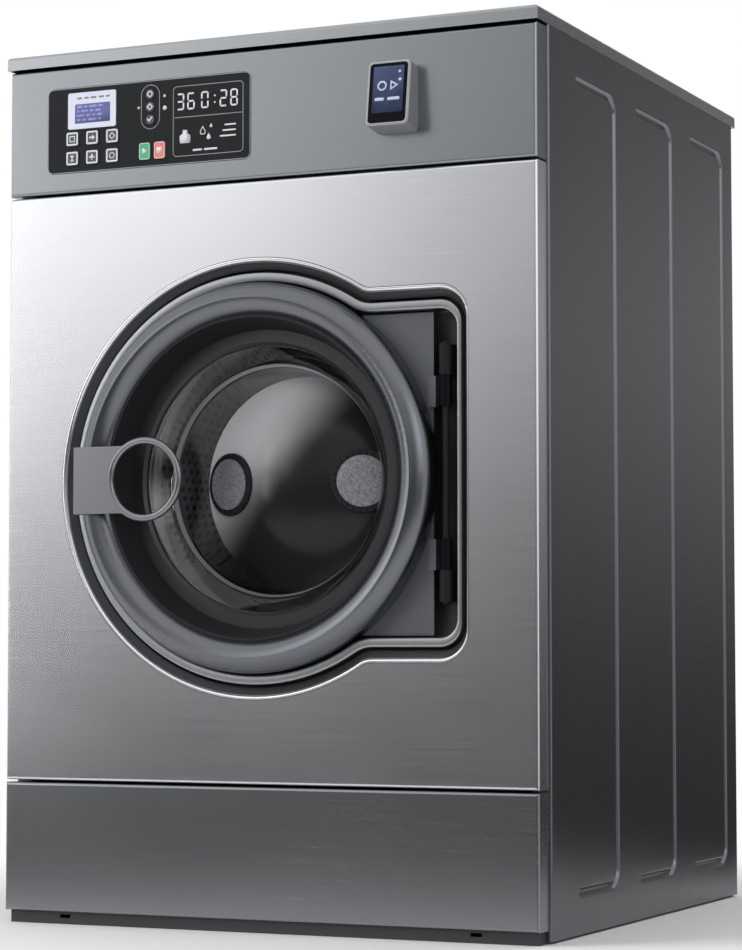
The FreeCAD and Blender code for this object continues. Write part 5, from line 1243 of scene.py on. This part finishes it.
class WASHER_OT_controls(bpy.types.Operator):
    """Control plate, display, keys and their prints"""

    bl_idname = "washer.controls"
    bl_label = "Controls"

    def execute(self, context):
        look = context.scene.washer_controls
        dress(finish("Plate charcoal", look.plate_charcoal, 0.5, specular=0.12), "control_plate")
        dress(finish("Board green", (0.02, 0.1, 0.04), 0.5), "control_board")
        dress(finish("Display silver", look.display_silver, 0.35), "lcd_module")
        dress(finish("Key grey", look.key_grey, 0.45), *[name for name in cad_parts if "key_" in name])
        dress(finish("Start green", look.start_green, 0.35), "start_key")
        dress(finish("Stop red", look.stop_red, 0.35), "stop_key")
        pale = finish("Print pale", look.print_pale, 0.5, 0, EVEN_COARSE, 0.15, 0.1)
        self.plate(look, pale)
        self.window(look)
        self.keys(look, pale)
        return {"FINISHED"}

    def plate(self, look, pale):
        """Painted highlight round the plate's edge, key group outline, lamps and the programme field of the
        plate.
        """
        low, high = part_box("control_plate")
        y = low.y - FILM_LIFT
        bm = bmesh.new()
        pale_print, edge_highlight_print, line_print = range(3)

        def at(x, z):
            return Vector((x, y, z))

        margin = 0.0006
        middle = at((low.x + high.x) / 2, (low.z + high.z) / 2)
        # Painted highlight: a thin light line round the plate stands in for the light caught by its
        # bevelled edge
        outline(bm, middle, high.x - low.x - margin, high.z - low.z - margin, 0.008, 0.0011, edge_highlight_print)
        self.key_group(bm, look, at, line_print)
        self.programme(bm, look, at, line_print)
        # Finish of the painted edge highlight
        edge = finish("Plate edge painted highlight", look.terminal_silver, 0.4, 0.5)
        lines = finish("Print grey", look.print_grey, 0.5, 0, EVEN_COARSE, 0.15, 0.1)
        printed("plate_prints", bm, "cabinet", [pale, edge, lines])

    def key_group(self, bm, look, at, line_print):
        """Oval round the three round keys, with a mark and two lamps beside it."""
        rounds = [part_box(f"round_key_{number}") for number in (1, 2, 3)]
        x = (rounds[0][0].x + rounds[0][1].x) / 2
        z = (rounds[0][0].z + rounds[2][1].z) / 2
        outline(bm, at(x, z), 0.029, 0.061, 0.0145, look.print_line, line_print)
        sign(bm, "plus", at(x - 0.018, z), 0.0022)
        sign(bm, "square", at(x + 0.0216, z + 0.0134), 0.0017)
        sign(bm, "octagon", at(x + 0.0222, z - 0.003), 0.003)

    def programme(self, bm, look, at, line_print):
        """Field with a row of figures over signs and bars."""
        left, right, bottom, top = -0.134, -0.0274, 1.0293, 1.125
        divider = 1.0823
        line = look.print_line
        middle = (left + right) / 2
        outline(bm, at(middle, (bottom + top) / 2), right - left, top - bottom, 0.006, line, line_print)
        bar(bm, at(middle, divider), right - left - 4 * line, line, line_print)
        row = 1.1035
        figure_size = (0.0115, 0.023, 0.0024)
        for figure, x in zip("360", (-0.1225, -0.1065, -0.0855)):
            digit(bm, figure, at(x, row), *figure_size)
        for z in (1.099, 1.108):
            bar(bm, at(-0.0705, z), 0.0024, 0.0024)
        for figure, x in zip("28", (-0.0575, -0.0415)):
            digit(bm, figure, at(x, row), *figure_size)
        sign(bm, "bottle", at(-0.1155, 1.0555), 0.0085)
        sign(bm, "drop", at(-0.0885, 1.062), 0.0055, 0.0012)
        sign(bm, "drop", at(-0.0795, 1.0535), 0.004)
        sign(bm, "drop", at(-0.076, 1.068), 0.0026)
        for z, width in ((1.0674, 0.017), (1.06, 0.02), (1.0526, 0.024)):
            bar(bm, at(-0.0386 - width / 2, z), width, 0.0022)
        for x, width in ((-0.0965, 0.014), (-0.0765, 0.02)):
            bar(bm, at(x, 1.0367), width, 0.0026)

    def window(self, look):
        """Lit window of the display with rows of marks."""
        low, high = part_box("lcd_module")
        y = low.y - FILM_LIFT
        bm = bmesh.new()
        filled(bm, rounded_loop(bm, Vector((-0.2585, y, 1.0998)), 0.055, 0.0265, 0.001))
        left, top, row_pitch, gap = -0.2828, 1.1089, 0.006, 0.0026
        for row, widths in enumerate(((9, 5, 12, 7), (4, 11, 6, 9), (12, 7, 5, 8), (6, 6, 14, 4))):
            x = left
            for width in widths:
                reach = width / 1000
                bar(bm, Vector((x + reach / 2, y - FILM_LIFT, top - row_pitch * row)), reach, 0.0032, 1)
                x += reach + gap
        for x, width in ((-0.279, 0.008), (-0.268, 0.007), (-0.257, 0.009), (-0.2445, 0.008),
                         (-0.2345, 0.006)):
            bar(bm, Vector((x, y, 1.1212)), width, 0.0026, 2)
        mark = (0.22, 0.23, 0.42)
        blue = lit("Window blue", look.window_blue, (0.07, 0.075, 0.18), 0.35, low.z, high.z)
        marks = lit("Window marks", mark, mark, 0.25, low.z, high.z)
        ink = finish("Display ink", (0.2, 0.2, 0.26), 0.5)
        printed("display_window", bm, "cabinet", [blue, marks, ink])

    def keys(self, look, pale):
        """Edge outline and sign on each key, which move with it."""
        signs = {
            "key_11": ("hourglass", 0), "key_12": ("plus", 0), "key_13": ("octagon", 1),
            "key_21": ("square", 1), "key_22": ("arrow", 0), "key_23": ("diamond", 1),
            "round_key_1": ("tick", 0), "round_key_2": ("diamond", 1), "round_key_3": ("octagon", 1),
            "start_key": ("triangle", 0), "stop_key": ("square", 0),
        }
        inset = 2 * look.key_flange + 0.0008
        size = 0.0042
        for name, (shape, hollow) in signs.items():
            low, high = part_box(name)
            middle = Vector(((low.x + high.x) / 2, low.y - FILM_LIFT, (low.z + high.z) / 2))
            bm = bmesh.new()
            if name.startswith("round"):
                sign(bm, shape, middle, size, 0.0016 * hollow)
            else:
                line = 0.0025 if name.startswith("key") else 0.0009
                outline(bm, middle, high.x - low.x - inset, high.z - low.z - inset, 0.0026, line)
                sign(bm, shape, middle, size, 0.0013 * hollow)
            printed(f"{name}_print", bm, name, [pale])


class WASHER_OT_terminal(bpy.types.Operator):
    """Payment terminal and its screen"""

    bl_idname = "washer.terminal"
    bl_label = "Terminal"

    def execute(self, context):
        look = context.scene.washer_controls
        dress(finish("Terminal silver", look.terminal_silver, 0.4, 0.5), "terminal_housing")
        glass = finish("Terminal glass", (0.003, 0.003, 0.004), 0.15, 0, EVEN_FINE, 0.1, 0.1, 0.02, 0.0,
                       specular=0.08)
        dress(glass, "terminal_screen")
        self.display(look)
        return {"FINISHED"}

    def display(self, look):
        """Lit field on the terminal's glass with plain signs and bars."""
        low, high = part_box("terminal_screen")
        bm = bmesh.new()

        def at(x, z, lift=FILM_LIFT):
            return Vector((x, -lift, z))

        filled(bm, rounded_loop(bm, at(0, 0.0045), 0.043, 0.0625, 0.0012))
        above = 2 * FILM_LIFT
        for shape, x, z, size, line in (
            ("octagon", -0.0085, 0.0095, 0.0065, 0.0022),
            ("triangle", 0.008, 0.0095, 0.006, 0.0018),
            ("square", 0.0155, 0.0275, 0.0016, 0),
            ("diamond", 0.0165, 0.0165, 0.0022, 0),
        ):
            sign(bm, shape, at(x, z, above), size, line, 1)
        for x, width in ((-0.0115, 0.013), (0.0085, 0.017)):
            bar(bm, at(x, -0.0085, above), width, 0.0042, 1)
        pale = (0.36, 0.4, 0.48)
        blue = lit("Terminal blue", (0.008, 0.011, 0.022), look.terminal_blue, 1.0, low.z, high.z)
        white = lit("Terminal white", pale, pale, 0.3, low.z, high.z)
        tip = Matrix.Rotation(-look.terminal_lean, 3, "X")
        face = (low + high) / 2 + tip @ Vector((0, -look.screen_depth / 2, 0))
        bmesh.ops.rotate(bm, cent=(0, 0, 0), matrix=tip, verts=bm.verts)
        bmesh.ops.translate(bm, vec=face, verts=bm.verts)
        printed("terminal_display", bm, "cabinet", [blue, white])


class WASHER_PT_panel(bpy.types.Panel):
    """Lists the washer's pieces"""

    bl_idname = "WASHER_PT_panel"
    bl_label = "Washer"
    bl_space_type = "VIEW_3D"
    bl_region_type = "UI"
    bl_category = "Washer"

    def draw(self, context):
        for operator in OPERATORS:
            self.layout.operator(operator.bl_idname)


GROUPS = {
    "washer_cabinet": WasherCabinet,
    "washer_door": WasherDoor,
    "washer_drum": WasherDrum,
    "washer_controls": WasherControls,
    "washer_stage": WasherStage,
}
OPERATORS = [WASHER_OT_stage, WASHER_OT_cabinet, WASHER_OT_sides, WASHER_OT_surround, WASHER_OT_door,
             WASHER_OT_drum, WASHER_OT_controls, WASHER_OT_terminal]


def register():
    for group in GROUPS.values():
        bpy.utils.register_class(group)
    for name, group in GROUPS.items():
        setattr(bpy.types.Scene, name, PointerProperty(type=group))
    for operator in OPERATORS:
        bpy.utils.register_class(operator)
    bpy.utils.register_class(WASHER_PT_panel)


def unregister():
    bpy.utils.unregister_class(WASHER_PT_panel)
    for operator in reversed(OPERATORS):
        bpy.utils.unregister_class(operator)
    for name in GROUPS:
        delattr(bpy.types.Scene, name)
    for group in reversed(GROUPS.values()):
        bpy.utils.unregister_class(group)


def main():
    register()
    bpy.ops.washer.stage()
    bpy.ops.washer.cabinet()
    bpy.ops.washer.sides()
    bpy.ops.washer.surround()
    bpy.ops.washer.door()
    bpy.ops.washer.drum()
    bpy.ops.washer.controls()
    bpy.ops.washer.terminal()


if __name__ == "__main__":
    main()
